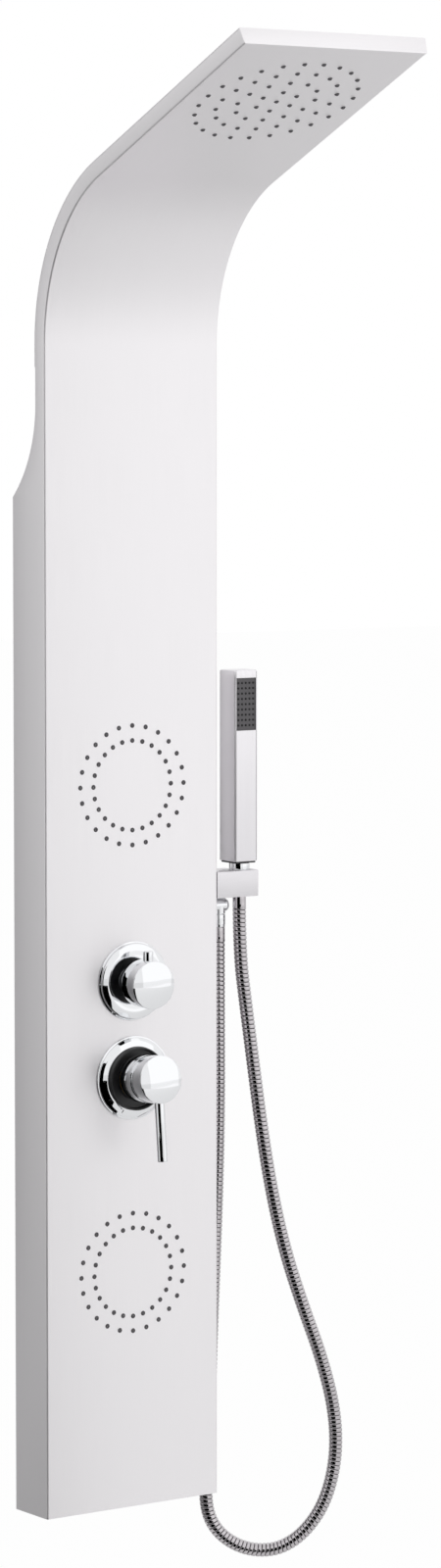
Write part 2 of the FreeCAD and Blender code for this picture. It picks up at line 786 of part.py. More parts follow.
def port(name, aim, x, z, rise):
    """A boss with a threaded nipple on its end, and the bore that runs back through both."""
    boss = valve_row(name + "_boss", aim, "stub_radius", rise, x, z)
    nipple = valve_row(name + "_nipple", aim, "nipple_radius", "%s + nipple_length" % rise, x, z)
    bore = valve_row(name + "_bore", aim, "feed_bore_radius", "%s + 2 * nipple_length" % rise,
                     x, z)
    return [boss, nipple], bore


def make_diverter_body():
    """The brass body with its neck, two side tubes and four ports, one for each outlet."""
    axis_z = at(DIVERTER_HEIGHT)
    barrel = turned("diverter_barrel", [
        ("0", "-diverter_body_depth"), ("diverter_body_radius", "-diverter_body_depth"),
        ("diverter_body_radius", "-sheet_gauge"), ("diverter_neck_radius", "-sheet_gauge"),
        ("diverter_neck_radius", "neck_out"), ("0", "neck_out")])
    on_face(barrel, DIVERTER_HEIGHT)
    solids = [barrel, valve_row("diverter_side_tube", "+x", "arm_tube_radius",
                                SIDE_PORT_X + " + lower_port_reach + 2 * arm_tube_cap",
                                "-lower_port_reach - arm_tube_cap", axis_z)]
    bores = [rod("diverter_chamber", "-y", "diverter_cartridge_radius",
                 "diverter_chamber_depth + 2 * neck_out", "0",
                 out("-diverter_chamber_depth"), axis_z)]
    for name, aim, x, rise in (
        ("head_port", "+z", "port_spread", "port_rise"),
        ("upper_jet_port", "+z", "-port_spread", "port_rise"),
        ("elbow_port", "+z", SIDE_PORT_X, "side_port_rise"),
        ("lower_jet_port", "-z", "-lower_port_reach", "side_port_rise"),
    ):
        pieces, bore = port(name, aim, x, axis_z, rise)
        solids += pieces
        bores.append(bore)
    pieces, bore = link_stub("diverter", "-z", axis_z)
    solids += pieces
    bores.append(bore)
    bores.append(valve_row("diverter_gallery", "+x", "waterway_radius",
                           SIDE_PORT_X + " + lower_port_reach", "-lower_port_reach", axis_z))
    finish(cut("diverter_bored", fuse("diverter_solid", *solids), *bores), "diverter_body")


def link_stub(name, aim, axis_z):
    """The stub that the link pipe is screwed to, and its bore."""
    stub = valve_row(name + "_link_boss", aim, "link_stub_radius", "link_stub_rise", "0", axis_z)
    nipple = valve_row(name + "_link_nipple", aim, "link_pipe_radius",
                       "link_stub_rise + nipple_length", "0", axis_z)
    bore = valve_row(name + "_link_bore", aim, "waterway_radius",
                     "link_stub_rise + 2 * nipple_length", "0", axis_z)
    return [stub, nipple], bore


def make_diverter_trim():
    """What sits in front of the diverter's body: cartridge, nuts, plate, spindle and knob."""
    finish(on_face(turned("diverter_clamp", washer_points(
        "diverter_neck_radius", "diverter_clamp_radius", "0", "clamp_nut_out")),
        DIVERTER_HEIGHT), "diverter_clamp_nut")

    hole = "spindle_radius + running_gap"
    pocket = "spindle_collar_radius + free_gap"
    seat = "-cartridge_seat_depth"
    pocket_back = "-gland_depth - collar_length - free_gap"
    cartridge = turned("diverter_cartridge_turned", [
        ("0", seat), ("diverter_cartridge_radius", seat),
        ("diverter_cartridge_radius", "-gland_depth"), (pocket, "-gland_depth"),
        (pocket, pocket_back), (hole, pocket_back),
        (hole, "-spindle_depth - free_gap"), ("0", "-spindle_depth - free_gap")])
    finish(on_face(cartridge, DIVERTER_HEIGHT), "diverter_cartridge")

    gland = turned("diverter_gland", [
        (hole, "-gland_depth"), ("diverter_cartridge_radius", "-gland_depth"),
        ("diverter_cartridge_radius", "neck_out"), ("gland_head_radius", "neck_out"),
        ("gland_head_radius", "gland_out"), (hole, "gland_out")])
    finish(on_face(gland, DIVERTER_HEIGHT), "diverter_gland_nut")

    collar_back = "-gland_depth - collar_length"
    collar_front = "-gland_depth - free_gap"
    spindle = turned("diverter_spindle_turned", [
        ("0", "-spindle_depth"), ("spindle_radius", "-spindle_depth"),
        ("spindle_radius", collar_back), ("spindle_collar_radius", collar_back),
        ("spindle_collar_radius", collar_front), ("spindle_radius", collar_front),
        ("spindle_radius", "spindle_out"), ("0", "spindle_out")])
    finish(on_face(spindle, DIVERTER_HEIGHT), "diverter_spindle")

    plate = turned("diverter_plate", face_plate_points(
        "diverter_plate_radius", "diverter_plate_out", "gland_head_radius + 3 * free_gap"))
    finish(on_face(plate, DIVERTER_HEIGHT), "diverter_escutcheon")

    cavity = "knob_radius - knob_wall"
    cavity_front = "knob_rim_out - knob_wall"
    skirt_back = "gland_out + 2 * free_gap"
    knob = turned("diverter_knob_turned", [
        ("spindle_radius", skirt_back), ("knob_skirt_radius", skirt_back),
        ("knob_skirt_radius", "knob_back_out"), ("knob_radius", "knob_back_out"),
        ("knob_radius", "knob_rim_out - knob_edge"), ("knob_radius - knob_edge", "knob_rim_out"),
        ("knob_radius / 2", "knob_rim_out + 0.75 * knob_dome"),
        ("0", "knob_rim_out + knob_dome"), ("0", cavity_front),
        (cavity, cavity_front), (cavity, "knob_back_out + knob_wall"),
        ("knob_hub_radius", "knob_back_out + knob_wall"), ("knob_hub_radius", "spindle_out"),
        ("spindle_radius", "spindle_out")])
    on_face(knob, DIVERTER_HEIGHT)
    pin_start = at(DIVERTER_HEIGHT) + " + knob_radius - knob_wall"
    pin_hole = rod("knob_pin_hole", "+z", "knob_pin_radius", "2 * knob_wall",
                   "0", out("knob_pin_out"), pin_start + " - knob_wall / 2")
    grub_hole = rod("knob_grub_hole", "-z", "grub_radius", "2 * knob_radius",
                    "0", out("knob_grub_out"), at(DIVERTER_HEIGHT))
    finish(cut("diverter_knob_drilled", knob, pin_hole, grub_hole), "diverter_knob")
    finish(rod("knob_pin", "+z", "knob_pin_radius", "knob_pin_length - knob_radius + knob_wall",
               "0", out("knob_pin_out"), pin_start), "diverter_knob_pin")
    finish(rod("knob_grub", "-z", "grub_radius", "grub_length", "0", out("knob_grub_out"),
               at(DIVERTER_HEIGHT) + " - spindle_radius"), "diverter_grub_screw")


def face_plate_points(radius, face_out, hole):
    """Outline of a shallow stepped cover plate with a hollow back."""
    inner_face = face_out + " - plate_wall"
    ledge = radius + " - plate_wall"
    rim_bore = radius + " - 2.5 * plate_wall"
    return [(radius, "0"), (radius, "plate_wall"), (ledge, face_out + " - 2.5 * plate_wall"),
            (ledge, inner_face), (radius + " - 2 * plate_wall", face_out), (hole, face_out),
            (hole, inner_face), (rim_bore, inner_face), (rim_bore, "0")]


# ---- mixer ----

def make_mixer_body():
    """The brass body with its two inlets below and its outlet above."""
    axis_z = at("mixer_height")
    barrel = turned("mixer_barrel", [
        ("0", "-mixer_body_depth"), ("mixer_body_radius", "-mixer_body_depth"),
        ("mixer_body_radius", "-sheet_gauge"), ("mixer_neck_radius", "-sheet_gauge"),
        ("mixer_neck_radius", "neck_out"), ("0", "neck_out")])
    on_face(barrel, "mixer_height")
    solids = [barrel, valve_row("mixer_side_tube", "+x", "arm_tube_radius",
                                "2 * inlet_spread", "-inlet_spread", axis_z)]
    bores = [
        rod("mixer_chamber", "-y", "mixer_cartridge_radius", "mixer_cartridge_depth + 2 * neck_out",
            "0", out("-mixer_cartridge_depth"), axis_z),
        rod("mixer_nut_seat", "-y", "mixer_nut_radius", "2 * neck_out", "0",
            out("mixer_cartridge_out"), axis_z),
        valve_row("mixer_gallery", "+x", "waterway_radius", "2 * inlet_spread", "-inlet_spread",
                  axis_z),
    ]
    for side in (-1, 1):
        x = "%d * inlet_spread" % side
        solids.append(valve_row("inlet_tube", "-z", "inlet_tube_radius",
                                "inlet_drop + inlet_tube_cap", x, axis_z + " + inlet_tube_cap"))
        bores.append(valve_row("inlet_bore", "-z", "inlet_bore_radius", "2 * inlet_drop", x,
                               axis_z + " + inlet_bore_radius"))
        bores.append(valve_row("inlet_socket", "-z", "inlet_plug_radius", "2 * inlet_drop", x,
                               axis_z + " - inlet_drop + inlet_plug_length"))
    pieces, bore = link_stub("mixer", "+z", axis_z)
    solids += pieces
    bores.append(bore)
    finish(cut("mixer_bored", fuse("mixer_solid", *solids), *bores), "mixer_body")


def make_inlets():
    """The threaded inlets, each with a check valve in it."""
    valves = []
    for side, name in ((-1, "hot_inlet"), (1, "cold_inlet")):
        length = "(inlet_plug_length + inlet_collar_height + inlet_thread_length)"
        nipple = turned(name + "_turned", [
            ("check_valve_radius", "0"), ("inlet_thread_radius", "0"),
            ("inlet_thread_radius", "inlet_thread_length"),
            ("inlet_collar_radius", "inlet_thread_length"),
            ("inlet_collar_radius", "inlet_thread_length + inlet_collar_height"),
            ("inlet_plug_radius", "inlet_thread_length + inlet_collar_height"),
            ("inlet_plug_radius", length), ("check_valve_radius", length)])
        x = "%d * inlet_spread" % side
        bottom = "%s - inlet_drop - inlet_collar_height - inlet_thread_length" % at("mixer_height")
        finish(put(nipple, x, ROW_Y, bottom), name)
        valve = turned(name + "_check_valve", washer_points(
            "waterway_radius / 2", "check_valve_radius", "0", "check_valve_length"))
        valves.append(put(valve, x, ROW_Y, bottom + " + check_valve_seat"))
    finish(group("check_valves", valves), "inlet_check_valves")


def make_mixer_trim():
    """Cartridge, nuts, rotor and cover plate of the mixer."""
    finish(on_face(turned("mixer_clamp", washer_points(
        "mixer_neck_radius", "mixer_clamp_radius", "0", "clamp_nut_out")),
        "mixer_height"), "mixer_clamp_nut")

    journal_hole = "rotor_journal_radius + running_gap"
    journal_end = "-rotor_journal_depth - free_gap"
    cartridge = turned("mixer_cartridge_turned", [
        ("0", "-mixer_cartridge_depth"), ("mixer_cartridge_radius", "-mixer_cartridge_depth"),
        ("mixer_cartridge_radius", "mixer_cartridge_out"), (journal_hole, "mixer_cartridge_out"),
        (journal_hole, journal_end), ("0", journal_end)])
    finish(on_face(cartridge, "mixer_height"), "mixer_cartridge")

    nut = turned("mixer_nut", washer_points(
        "mixer_nut_bore", "mixer_nut_radius", "mixer_cartridge_out", "mixer_nut_out"))
    finish(on_face(nut, "mixer_height"), "mixer_cartridge_nut")

    head = "mixer_nut_bore - free_gap"
    head_back = "mixer_cartridge_out + free_gap"
    rotor = turned("mixer_rotor_turned", [
        ("0", "-rotor_journal_depth"), ("rotor_journal_radius", "-rotor_journal_depth"),
        ("rotor_journal_radius", head_back), (head, head_back), (head, "mixer_nut_out"),
        ("0", "mixer_nut_out")])
    on_face(rotor, "mixer_height")
    slot = block("rotor_slot", ("-rotor_slot_half", "rotor_slot_half"),
                 (out("2 * mixer_nut_out"), out("rotor_slot_out")),
                 (at("mixer_height") + " - mixer_nut_radius",
                  at("mixer_height") + " + mixer_nut_radius"))
    pin_hole = rod("pivot_pin_hole", "+x", "pivot_pin_radius", "pivot_pin_length",
                   "-pivot_pin_length / 2", out("tilt_pivot_out"), at("mixer_height"))
    finish(cut("mixer_rotor_slotted", rotor, slot, pin_hole), "mixer_rotor")
    finish(rod("pivot_pin", "+x", "pivot_pin_radius", "pivot_pin_length",
               "-pivot_pin_length / 2", out("tilt_pivot_out"), at("mixer_height")),
           "mixer_pivot_pin")

    collar_low = "mixer_plate_out - plate_wall"
    plate = turned("mixer_plate", [
        ("mixer_plate_radius", "0"), ("mixer_plate_radius", "plate_wall"),
        ("mixer_plate_radius - plate_wall", collar_low),
        ("mixer_collar_radius + plate_wall", "mixer_plate_out"),
        ("mixer_collar_radius", "mixer_collar_out - plate_wall"),
        ("mixer_collar_radius - plate_wall", "mixer_collar_out"),
        ("mixer_collar_bore", "mixer_collar_out"), ("mixer_collar_bore", collar_low),
        ("mixer_collar_radius + plate_wall", collar_low),
        ("mixer_plate_radius - 2 * plate_wall", "collar_underside"),
        ("mixer_plate_radius - 1.5 * plate_wall", "0")])
    finish(on_face(plate, "mixer_height"), "mixer_escutcheon")


def on_lever(obj):
    """Place a piece drawn along the lever's own axis, which starts at the tilt pivot."""
    return put(obj, "0", out("tilt_pivot_out"), at("mixer_height"), "90 - lever_rest_tilt")


def lever_drop(name, radius, start, length, reach):
    """A round bar in the lever's frame that runs down from its axis at a reach along it."""
    body = prism_round(name, radius, "0", reach, start, length)
    return put(body, "0", out("tilt_pivot_out"), at("mixer_height"), "180 - lever_rest_tilt")


def make_lever():
    """What tilts on the pivot pin: the stem, the cap with its pin, and the grub screw."""
    eye = rod("stem_eye", "+x", "stem_eye_radius", "2 * stem_eye_half", "-stem_eye_half",
              out("tilt_pivot_out"), at("mixer_height"))
    shaft = turned("stem_shaft", [("0", "0"), ("stem_radius", "0"),
                                  ("stem_radius", "stem_reach"), ("0", "stem_reach")])
    on_lever(shaft)
    eye_hole = rod("stem_eye_hole", "+x", "pivot_pin_radius + running_gap", "4 * stem_radius",
                   "-2 * stem_radius", out("tilt_pivot_out"), at("mixer_height"))
    finish(cut("stem_drilled", fuse("stem_solid", eye, shaft), eye_hole), "mixer_stem")

    front_wall = "lever_rim - 1.5 * knob_wall"
    groove_edge = "lever_groove + lever_groove_width"
    cap = turned("lever_cap", [
        ("knob_radius - knob_wall", "lever_back"), ("knob_radius - knob_edge", "lever_back"),
        ("knob_radius", "lever_back + knob_edge"), ("knob_radius", "lever_groove"),
        ("knob_radius - lever_groove_depth", "lever_groove"),
        ("knob_radius - lever_groove_depth", groove_edge), ("knob_radius", groove_edge),
        ("knob_radius", "lever_rim - knob_edge"), ("knob_radius - knob_edge", "lever_rim"),
        ("knob_radius / 2", "lever_rim + 0.75 * knob_dome"), ("0", "lever_rim + knob_dome"),
        ("0", "stem_reach"), ("stem_radius", "stem_reach"), ("stem_radius", "lever_hub_back"),
        ("knob_hub_radius", "lever_hub_back"), ("knob_hub_radius", front_wall),
        ("knob_radius - knob_wall", front_wall)])
    on_lever(cap)
    pin_hole = lever_drop("lever_pin_hole", "knob_pin_radius", "knob_radius - 1.5 * knob_wall",
                          "3 * knob_wall", "lever_pin_out")
    grub_hole = lever_drop("lever_grub_hole", "grub_radius", "0", "2 * knob_radius",
                           "lever_grub_out")
    finish(cut("lever_cap_drilled", cap, pin_hole, grub_hole), "mixer_handle")
    pin = lever_drop("lever_pin", "knob_pin_radius", "knob_radius - knob_wall",
                     "lever_pin_length - knob_radius + knob_wall", "lever_pin_out")
    finish(pin, "mixer_lever_pin")
    grub = lever_drop("lever_grub", "grub_radius", "stem_radius", "grub_length",
                      "lever_grub_out")
    finish(grub, "mixer_grub_screw")


# ---- routes: straight runs joined by tangent arcs ----

def route_edges(points, radii=None):
    """Edges of a route and its arc radii; each radius follows its two runs unless it is given."""
    edges = []
    used = []
    start = points[0]
    for index in range(1, len(points) - 1):
        back = points[index - 1] - points[index]
        ahead = points[index + 1] - points[index]
        turn = math.pi - back.getAngle(ahead)
        if radii is None:
            radius = 0.45 * min(back.Length, ahead.Length) / math.tan(turn / 2)
        else:
            radius = radii[index - 1]
        reach = radius * math.tan(turn / 2)
        back.normalize()
        ahead.normalize()
        first = points[index] + back * reach
        last = points[index] + ahead * reach
        inward = back + ahead
        inward.normalize()
        middle = points[index] + inward * (radius / math.cos(turn / 2) - radius)
        edges.append(Part.LineSegment(start, first).toShape())
        edges.append(Part.Arc(first, middle, last).toShape())
        used.append(radius)
        start = last
    edges.append(Part.LineSegment(start, points[-1]).toShape())
    return edges, used


def swept(edges, radius):
    """A round solid swept along joined edges."""
    start = edges[0].valueAt(edges[0].FirstParameter)
    ahead = edges[0].tangentAt(edges[0].FirstParameter)
    ring = Part.Wire(Part.makeCircle(radius, start, ahead))
    return Part.Wire(edges).makePipeShell([ring], True, False)


def tube(name, points, radii, outer, bore):
    """A hollow tube along a route, checked against its section times its length."""
    edges, used = route_edges(points, radii)
    solid = swept(edges, outer).cut(swept(edges, bore))
    length = sum(edge.Length for edge in edges)
    expected = math.pi * (outer ** 2 - bore ** 2) * length
    print("%s: length %.1f, least radius %.1f, volume ratio %.4f"
          % (name, length, min(used), solid.Volume / expected))
    return shaped(name, solid)


def nut_on(name, aim, x, y, z, bore, outer):
    """A round coupling nut that covers the end of a nipple and the start of what it holds."""
    back = {"+x": (-1, 0), "-x": (1, 0), "+z": (0, -1), "-z": (0, 1)}[aim]
    start_x = "%s + (%d) * nut_overlap" % (x, back[0])
    start_z = "%s + (%d) * nut_overlap" % (z, back[1])
    body = rod(name + "_blank", aim, outer, "nut_length", start_x, y, start_z)
    hole = rod(name + "_thread", aim, bore, "nut_length", start_x, y, start_z)
    return cut(name, body, hole)


def ferrule_on(name, aim, x, y, z, skip):
    """A crimped sleeve round the end of a feed hose, a little way in from its end."""
    ahead = {"+z": 1, "-z": -1}[aim]
    start = "%s + (%d) * (%s)" % (z, ahead, skip)
    body = rod(name + "_blank", aim, "feed_radius + ferrule_wall", "ferrule_length", x, y, start)
    hole = rod(name + "_core", aim, "feed_radius", "ferrule_length", x, y, start)
    return cut(name, body, hole)


def make_feeds():
    """The hoses from the diverter to the head and the jets, and the pipe to the elbow."""
    outer = value("feed_radius")
    bore = value("feed_bore_radius")
    bend = value("feed_bend_radius")
    row = value(ROW_Y)
    nuts = []
    ferrules = []

    port_top = "%s + port_rise + nipple_length" % at(DIVERTER_HEIGHT)
    thin_y = FRONT + " + head_feed_inset"
    head_radius = value("bend_radius + head_feed_inset")
    corner = value(BEND_Z) + head_radius * math.tan(math.radians(value(ARM_TURN) / 2))
    run = value(HEAD_FEED_END)
    rise = math.radians(value("arm_rise"))
    reach = head_radius * math.tan(math.radians(value(ARM_TURN) / 2)) + run
    x = value("port_spread")
    points = [
        Vector(x, row, value(port_top)), Vector(x, row, value(at("head_feed_jog_low"))),
        Vector(x, value(thin_y), value(at("head_feed_jog_high"))),
        Vector(x, value(thin_y), corner),
        Vector(x, value(thin_y) - reach * math.cos(rise), corner + reach * math.sin(rise)),
    ]
    finish(tube("head_feed", points, [bend, bend, head_radius], outer, bore), "head_feed_hose")
    nuts.append(nut_on("head_feed_nut", "+z", "port_spread", ROW_Y, port_top,
                       "nipple_radius", "nut_radius"))
    ferrules.append(ferrule_on("head_feed_ferrule", "+z", "port_spread", ROW_Y, port_top,
                               "nut_length - nut_overlap + free_gap"))
    sleeve, core = (
        on_arm(prism_round("head_sleeve_" + part, radius, "port_spread", thin_y,
                           HEAD_FEED_END + " - ferrule_length", "ferrule_length"))
        for part, radius in (("blank", "feed_radius + ferrule_wall"), ("core", "feed_radius")))
    ferrules.append(cut("head_sleeve", sleeve, core))

    mid_y = out(MANIFOLD_MID_OUT)
    low_start = "%s - side_port_rise - nipple_length" % at(DIVERTER_HEIGHT)
    for prefix, x_text, aim, start, height in (
        ("upper_jet", "-port_spread", "+z", port_top, UPPER_JET_HEIGHT),
        ("lower_jet", "-lower_port_reach", "-z", low_start, "lower_jet_height"),
    ):
        ahead = 1 if aim == "+z" else -1
        end = "%s - (%d) * %s" % (at(height), ahead, jet_hose_offset(x_text))
        jog_end = "%s - (%d) * jog_straight" % (end, ahead)
        jog_start = "%s - (%d) * jog_length" % (jog_end, ahead)
        x = value(x_text)
        points = [Vector(x, row, value(start)), Vector(x, row, value(jog_start)),
                  Vector(x, value(mid_y), value(jog_end)), Vector(x, value(mid_y), value(end))]
        finish(tube(prefix + "_feed", points, [bend, bend], outer, bore), prefix + "_feed_hose")
        nuts.append(nut_on(prefix + "_feed_nut", aim, x_text, ROW_Y, start,
                           "nipple_radius", "nut_radius"))
        ferrules.append(ferrule_on(prefix + "_feed_ferrule", aim, x_text, ROW_Y, start,
                                   "nut_length - nut_overlap + free_gap"))
        ferrules.append(ferrule_on(prefix + "_end_ferrule", aim, x_text, mid_y, end,
                                   "-ferrule_length"))

    start = "%s + side_port_rise + nipple_length" % at(DIVERTER_HEIGHT)
    x = value(SIDE_PORT_X)
    points = [Vector(x, row, value(start)), Vector(x, row, value(at(ELBOW_HEIGHT))),
              Vector(value(ELBOW_INNER_X), row, value(at(ELBOW_HEIGHT)))]
    pipe = tube("elbow_feed", points, [value("pipe_bend_radius")], outer, bore)
    finish(pipe, "elbow_feed_pipe")
    nuts.append(nut_on("elbow_feed_nut", "+z", SIDE_PORT_X, ROW_Y, start,
                       "nipple_radius", "nut_radius"))
    nuts.append(nut_on("elbow_inner_nut", "-x", ELBOW_INNER_X, ROW_Y, at(ELBOW_HEIGHT),
                       "nipple_radius", "nut_radius"))
    finish(group("feed_nuts", nuts), "feed_hose_nuts")
    finish(group("feed_ferrules", ferrules), "feed_hose_ferrules")


def make_link():
    """The short pipe from the mixer up to the diverter, with a nut at each end."""
    low = "%s + link_stub_rise + nipple_length" % at("mixer_height")
    high = "%s - link_stub_rise - nipple_length" % at(DIVERTER_HEIGHT)
    pipe = valve_row("link_pipe_blank", "+z", "link_pipe_radius", "%s - (%s)" % (high, low),
                     "0", low)
    bore = valve_row("link_pipe_bore", "+z", "waterway_radius", "%s - (%s)" % (high, low),
                     "0", low)
    finish(cut("link_pipe_hollow", pipe, bore), "link_pipe")
    nuts = [nut_on("link_low_nut", "+z", "0", ROW_Y, low, "link_pipe_radius", "link_nut_radius"),
            nut_on("link_high_nut", "-z", "0", ROW_Y, high, "link_pipe_radius",
                   "link_nut_radius")]
    finish(group("link_nut_pair", nuts), "link_nuts")


# ---- outlet elbow and shower hose ----

def elbow_rod(name, aim, radius, length, x):
    """A round bar on the elbow's axis."""
    return rod(name, aim, radius, length, x, ROW_Y, at(ELBOW_HEIGHT))


def make_elbow():
    """The elbow that carries water out through the right side and down to the hose."""
    elbow = turned("elbow_shank", [
        ("0", ELBOW_INNER_X), ("nipple_radius", ELBOW_INNER_X),
        ("nipple_radius", ELBOW_THREAD_X), ("elbow_radius", ELBOW_THREAD_X),
        ("elbow_radius", ELBOW_END_X + " - elbow_end_round"),
        ("elbow_radius - elbow_end_round / 3", ELBOW_END_X + " - elbow_end_round / 3"),
        ("elbow_radius - elbow_end_round", ELBOW_END_X), ("0", ELBOW_END_X)])
    elbow.Placement = Placement(Vector(), AIM["+x"])
    put(elbow, "0", ROW_Y, at(ELBOW_HEIGHT))
    slab = side_slab("elbow_flange_slab", "-washer_gauge",
                     "-washer_gauge - elbow_flange_length", ELBOW_HEIGHT)
    flange = doc.addObject("Part::Common", "elbow_flange")
    flange.Base = slab
    flange.Tool = elbow_rod("elbow_flange_rod", "+x", "elbow_flange_radius", "column_depth",
                            "column_width / 2 - column_depth / 4")
    spout = rod("elbow_spout", "-z", "elbow_radius", "elbow_spout_drop + washer_gauge",
                ELBOW_AXIS_X, ROW_Y, at(ELBOW_HEIGHT))
    thread = rod("elbow_spout_thread", "-z", "nipple_radius",
                 "elbow_spout_drop + supply_nut_overlap", ELBOW_AXIS_X, ROW_Y,
                 at(ELBOW_HEIGHT))
    bores = [
        elbow_rod("elbow_bore", "+x", "feed_bore_radius", "%s - %s" % (ELBOW_AXIS_X, ELBOW_INNER_X),
                  ELBOW_INNER_X),
        rod("elbow_spout_bore", "-z", "feed_bore_radius",
            "elbow_spout_drop + 2 * supply_nut_overlap", ELBOW_AXIS_X, ROW_Y,
            at(ELBOW_HEIGHT))]
    solid = fuse("elbow_solid", elbow, flange, spout, thread)
    finish(cut("elbow_bored", solid, *bores), "elbow_outlet")

    for name, radius, low, high, label in (
        ("elbow_seal", "elbow_flange_radius", "0", "-washer_gauge", "elbow_washer"),
        ("elbow_lock", "elbow_lock_radius", "sheet_gauge + elbow_lock_length", "sheet_gauge",
         "elbow_lock_nut"),
    ):
        piece = doc.addObject("Part::Common", name)
        piece.Base = side_slab(name + "_slab", low, high, ELBOW_HEIGHT)
        piece.Tool = elbow_rod(name + "_rod", "+x", radius, "column_depth",
                               "column_width / 2 - column_depth / 4")
        hole = elbow_rod(name + "_hole", "+x", "elbow_radius", "2 * column_depth",
                         "column_width / 2 - column_depth")
        finish(cut(name + "_holed", piece, hole), label)

    nut_top = "%s - elbow_spout_drop - washer_gauge" % at(ELBOW_HEIGHT)
    nut = rod("supply_nut_blank", "-z", "elbow_radius", "supply_nut_length - washer_gauge",
              ELBOW_AXIS_X, ROW_Y, nut_top)
    thread_hole = rod("supply_nut_thread", "-z", "nipple_radius",
                      "supply_nut_overlap - washer_gauge", ELBOW_AXIS_X, ROW_Y, nut_top)
    through = rod("supply_nut_bore", "-z", "hose_bore_radius", "2 * supply_nut_length",
                  ELBOW_AXIS_X, ROW_Y, nut_top)
    finish(cut("supply_nut_bored", nut, thread_hole, through), "hose_supply_nut")


# The free hose from the elbow down under the panel and up to the holder: X, Y and height.
HOSE_ROUTE = (
    (118.0, -26.0, 500.0), (118.8, -25.4, 392.0), (117.6, -22.0, 284.0), (116.2, -16.8, 184.0),
    (115.8, -12.2, 98.0), (115.9, -9.4, 34.0), (112.7, -8.4, -8.0), (114.4, -10.4, -34.0),
    (124.0, -16.2, -53.5), (141.0, -25.0, -67.5), (162.0, -35.2, -73.8), (184.0, -46.0, -71.0),
    (206.0, -57.0, -54.0), (225.5, -65.0, -23.0), (235.6, -69.0, 23.0), (233.0, -69.5, 73.0),
    (218.6, -66.5, 129.0), (198.2, -62.5, 184.0), (180.0, -58.0, 240.0), (166.6, -53.5, 300.0),
    (157.4, -48.5, 364.0), (150.4, -43.5, 430.0), (143.8, -39.0, 494.0), (136.6, -36.5, 555.0),
)


def hose_ends():
    """Where the free hose meets the nut under the elbow and the ferrule in the holder."""
    top = Vector(value(ELBOW_AXIS_X), value(ROW_Y),
                 value("%s - elbow_spout_drop - supply_nut_length" % at(ELBOW_HEIGHT)))
    end = Vector(value(HANDSET_X), value(HANDSET_Y), value(at(HOSE_END)))
    return top, end


def place_along(edges, distance):
    """Point and direction at a distance along joined edges."""
    for edge in edges:
        if distance <= edge.Length or edge is edges[-1]:
            parameter = edge.getParameterByLength(min(distance, edge.Length))
            return edge.valueAt(parameter), edge.tangentAt(parameter)
        distance -= edge.Length
    return None


def ring_at(edges, distance, radius):
    """A circle square to the route, with its seam always turned to the wall."""
    centre, ahead = place_along(edges, distance)
    seam = Vector(0, 1, 0)
    seam -= ahead * seam.dot(ahead)
    circle = Part.Circle(centre, ahead, radius)
    circle.XAxis = seam.normalize()
    return Part.Wire(circle.toShape())


def make_shower_hose():
    """The metal hose: a bore and ribs all along, plain for one diameter at each end."""
    top, end = hose_ends()
    base = value("hanger_height")
    points = [top] + [Vector(x, y, height - base) for x, y, height in HOSE_ROUTE] + [end]
    edges, radii = route_edges(points)
    length = sum(edge.Length for edge in edges)
    runs = [(b - a).Length for a, b in zip(points, points[1:])]
    crest = value("hose_radius")
    valley = crest - value("hose_valley")
    plain = 2 * crest
    count = round(value("hose_rib_count"))
    pitch = (length - 2 * plain) / count
    rings = [ring_at(edges, 0, crest), ring_at(edges, plain, valley)]
    for rib in range(count):
        start = plain + rib * pitch
        for share, radius in ((0.15, crest), (0.7, crest), (0.85, valley), (1.0, valley)):
            rings.append(ring_at(edges, start + share * pitch, radius))
    rings.append(ring_at(edges, length, crest))
    ribbed = Part.makeLoft(rings, True, True)
    hose = ribbed.cut(swept(edges, value("hose_bore_radius")))
    expected = math.pi * (crest ** 2 - value("hose_bore_radius") ** 2) * length
    print("shower hose: length %.1f, runs %.0f to %.0f, radii %s, volume ratio %.3f"
          % (length, min(runs), max(runs), [round(radius) for radius in radii],
             hose.Volume / expected))
    finish(shaped("hose_ribbed", hose), "shower_hose")


# ---- handset and its holder ----

def handset_rod(name, aim, radius, length, z):
    """A round bar on the handset's axis."""
    return rod(name, aim, radius, length, HANDSET_X, HANDSET_Y, z)


def handset_turned(name, points):
    """A turned piece on the handset's axis, drawn with heights above the column's bottom."""
    return put(turned(name, points), HANDSET_X, HANDSET_Y, at("0"))


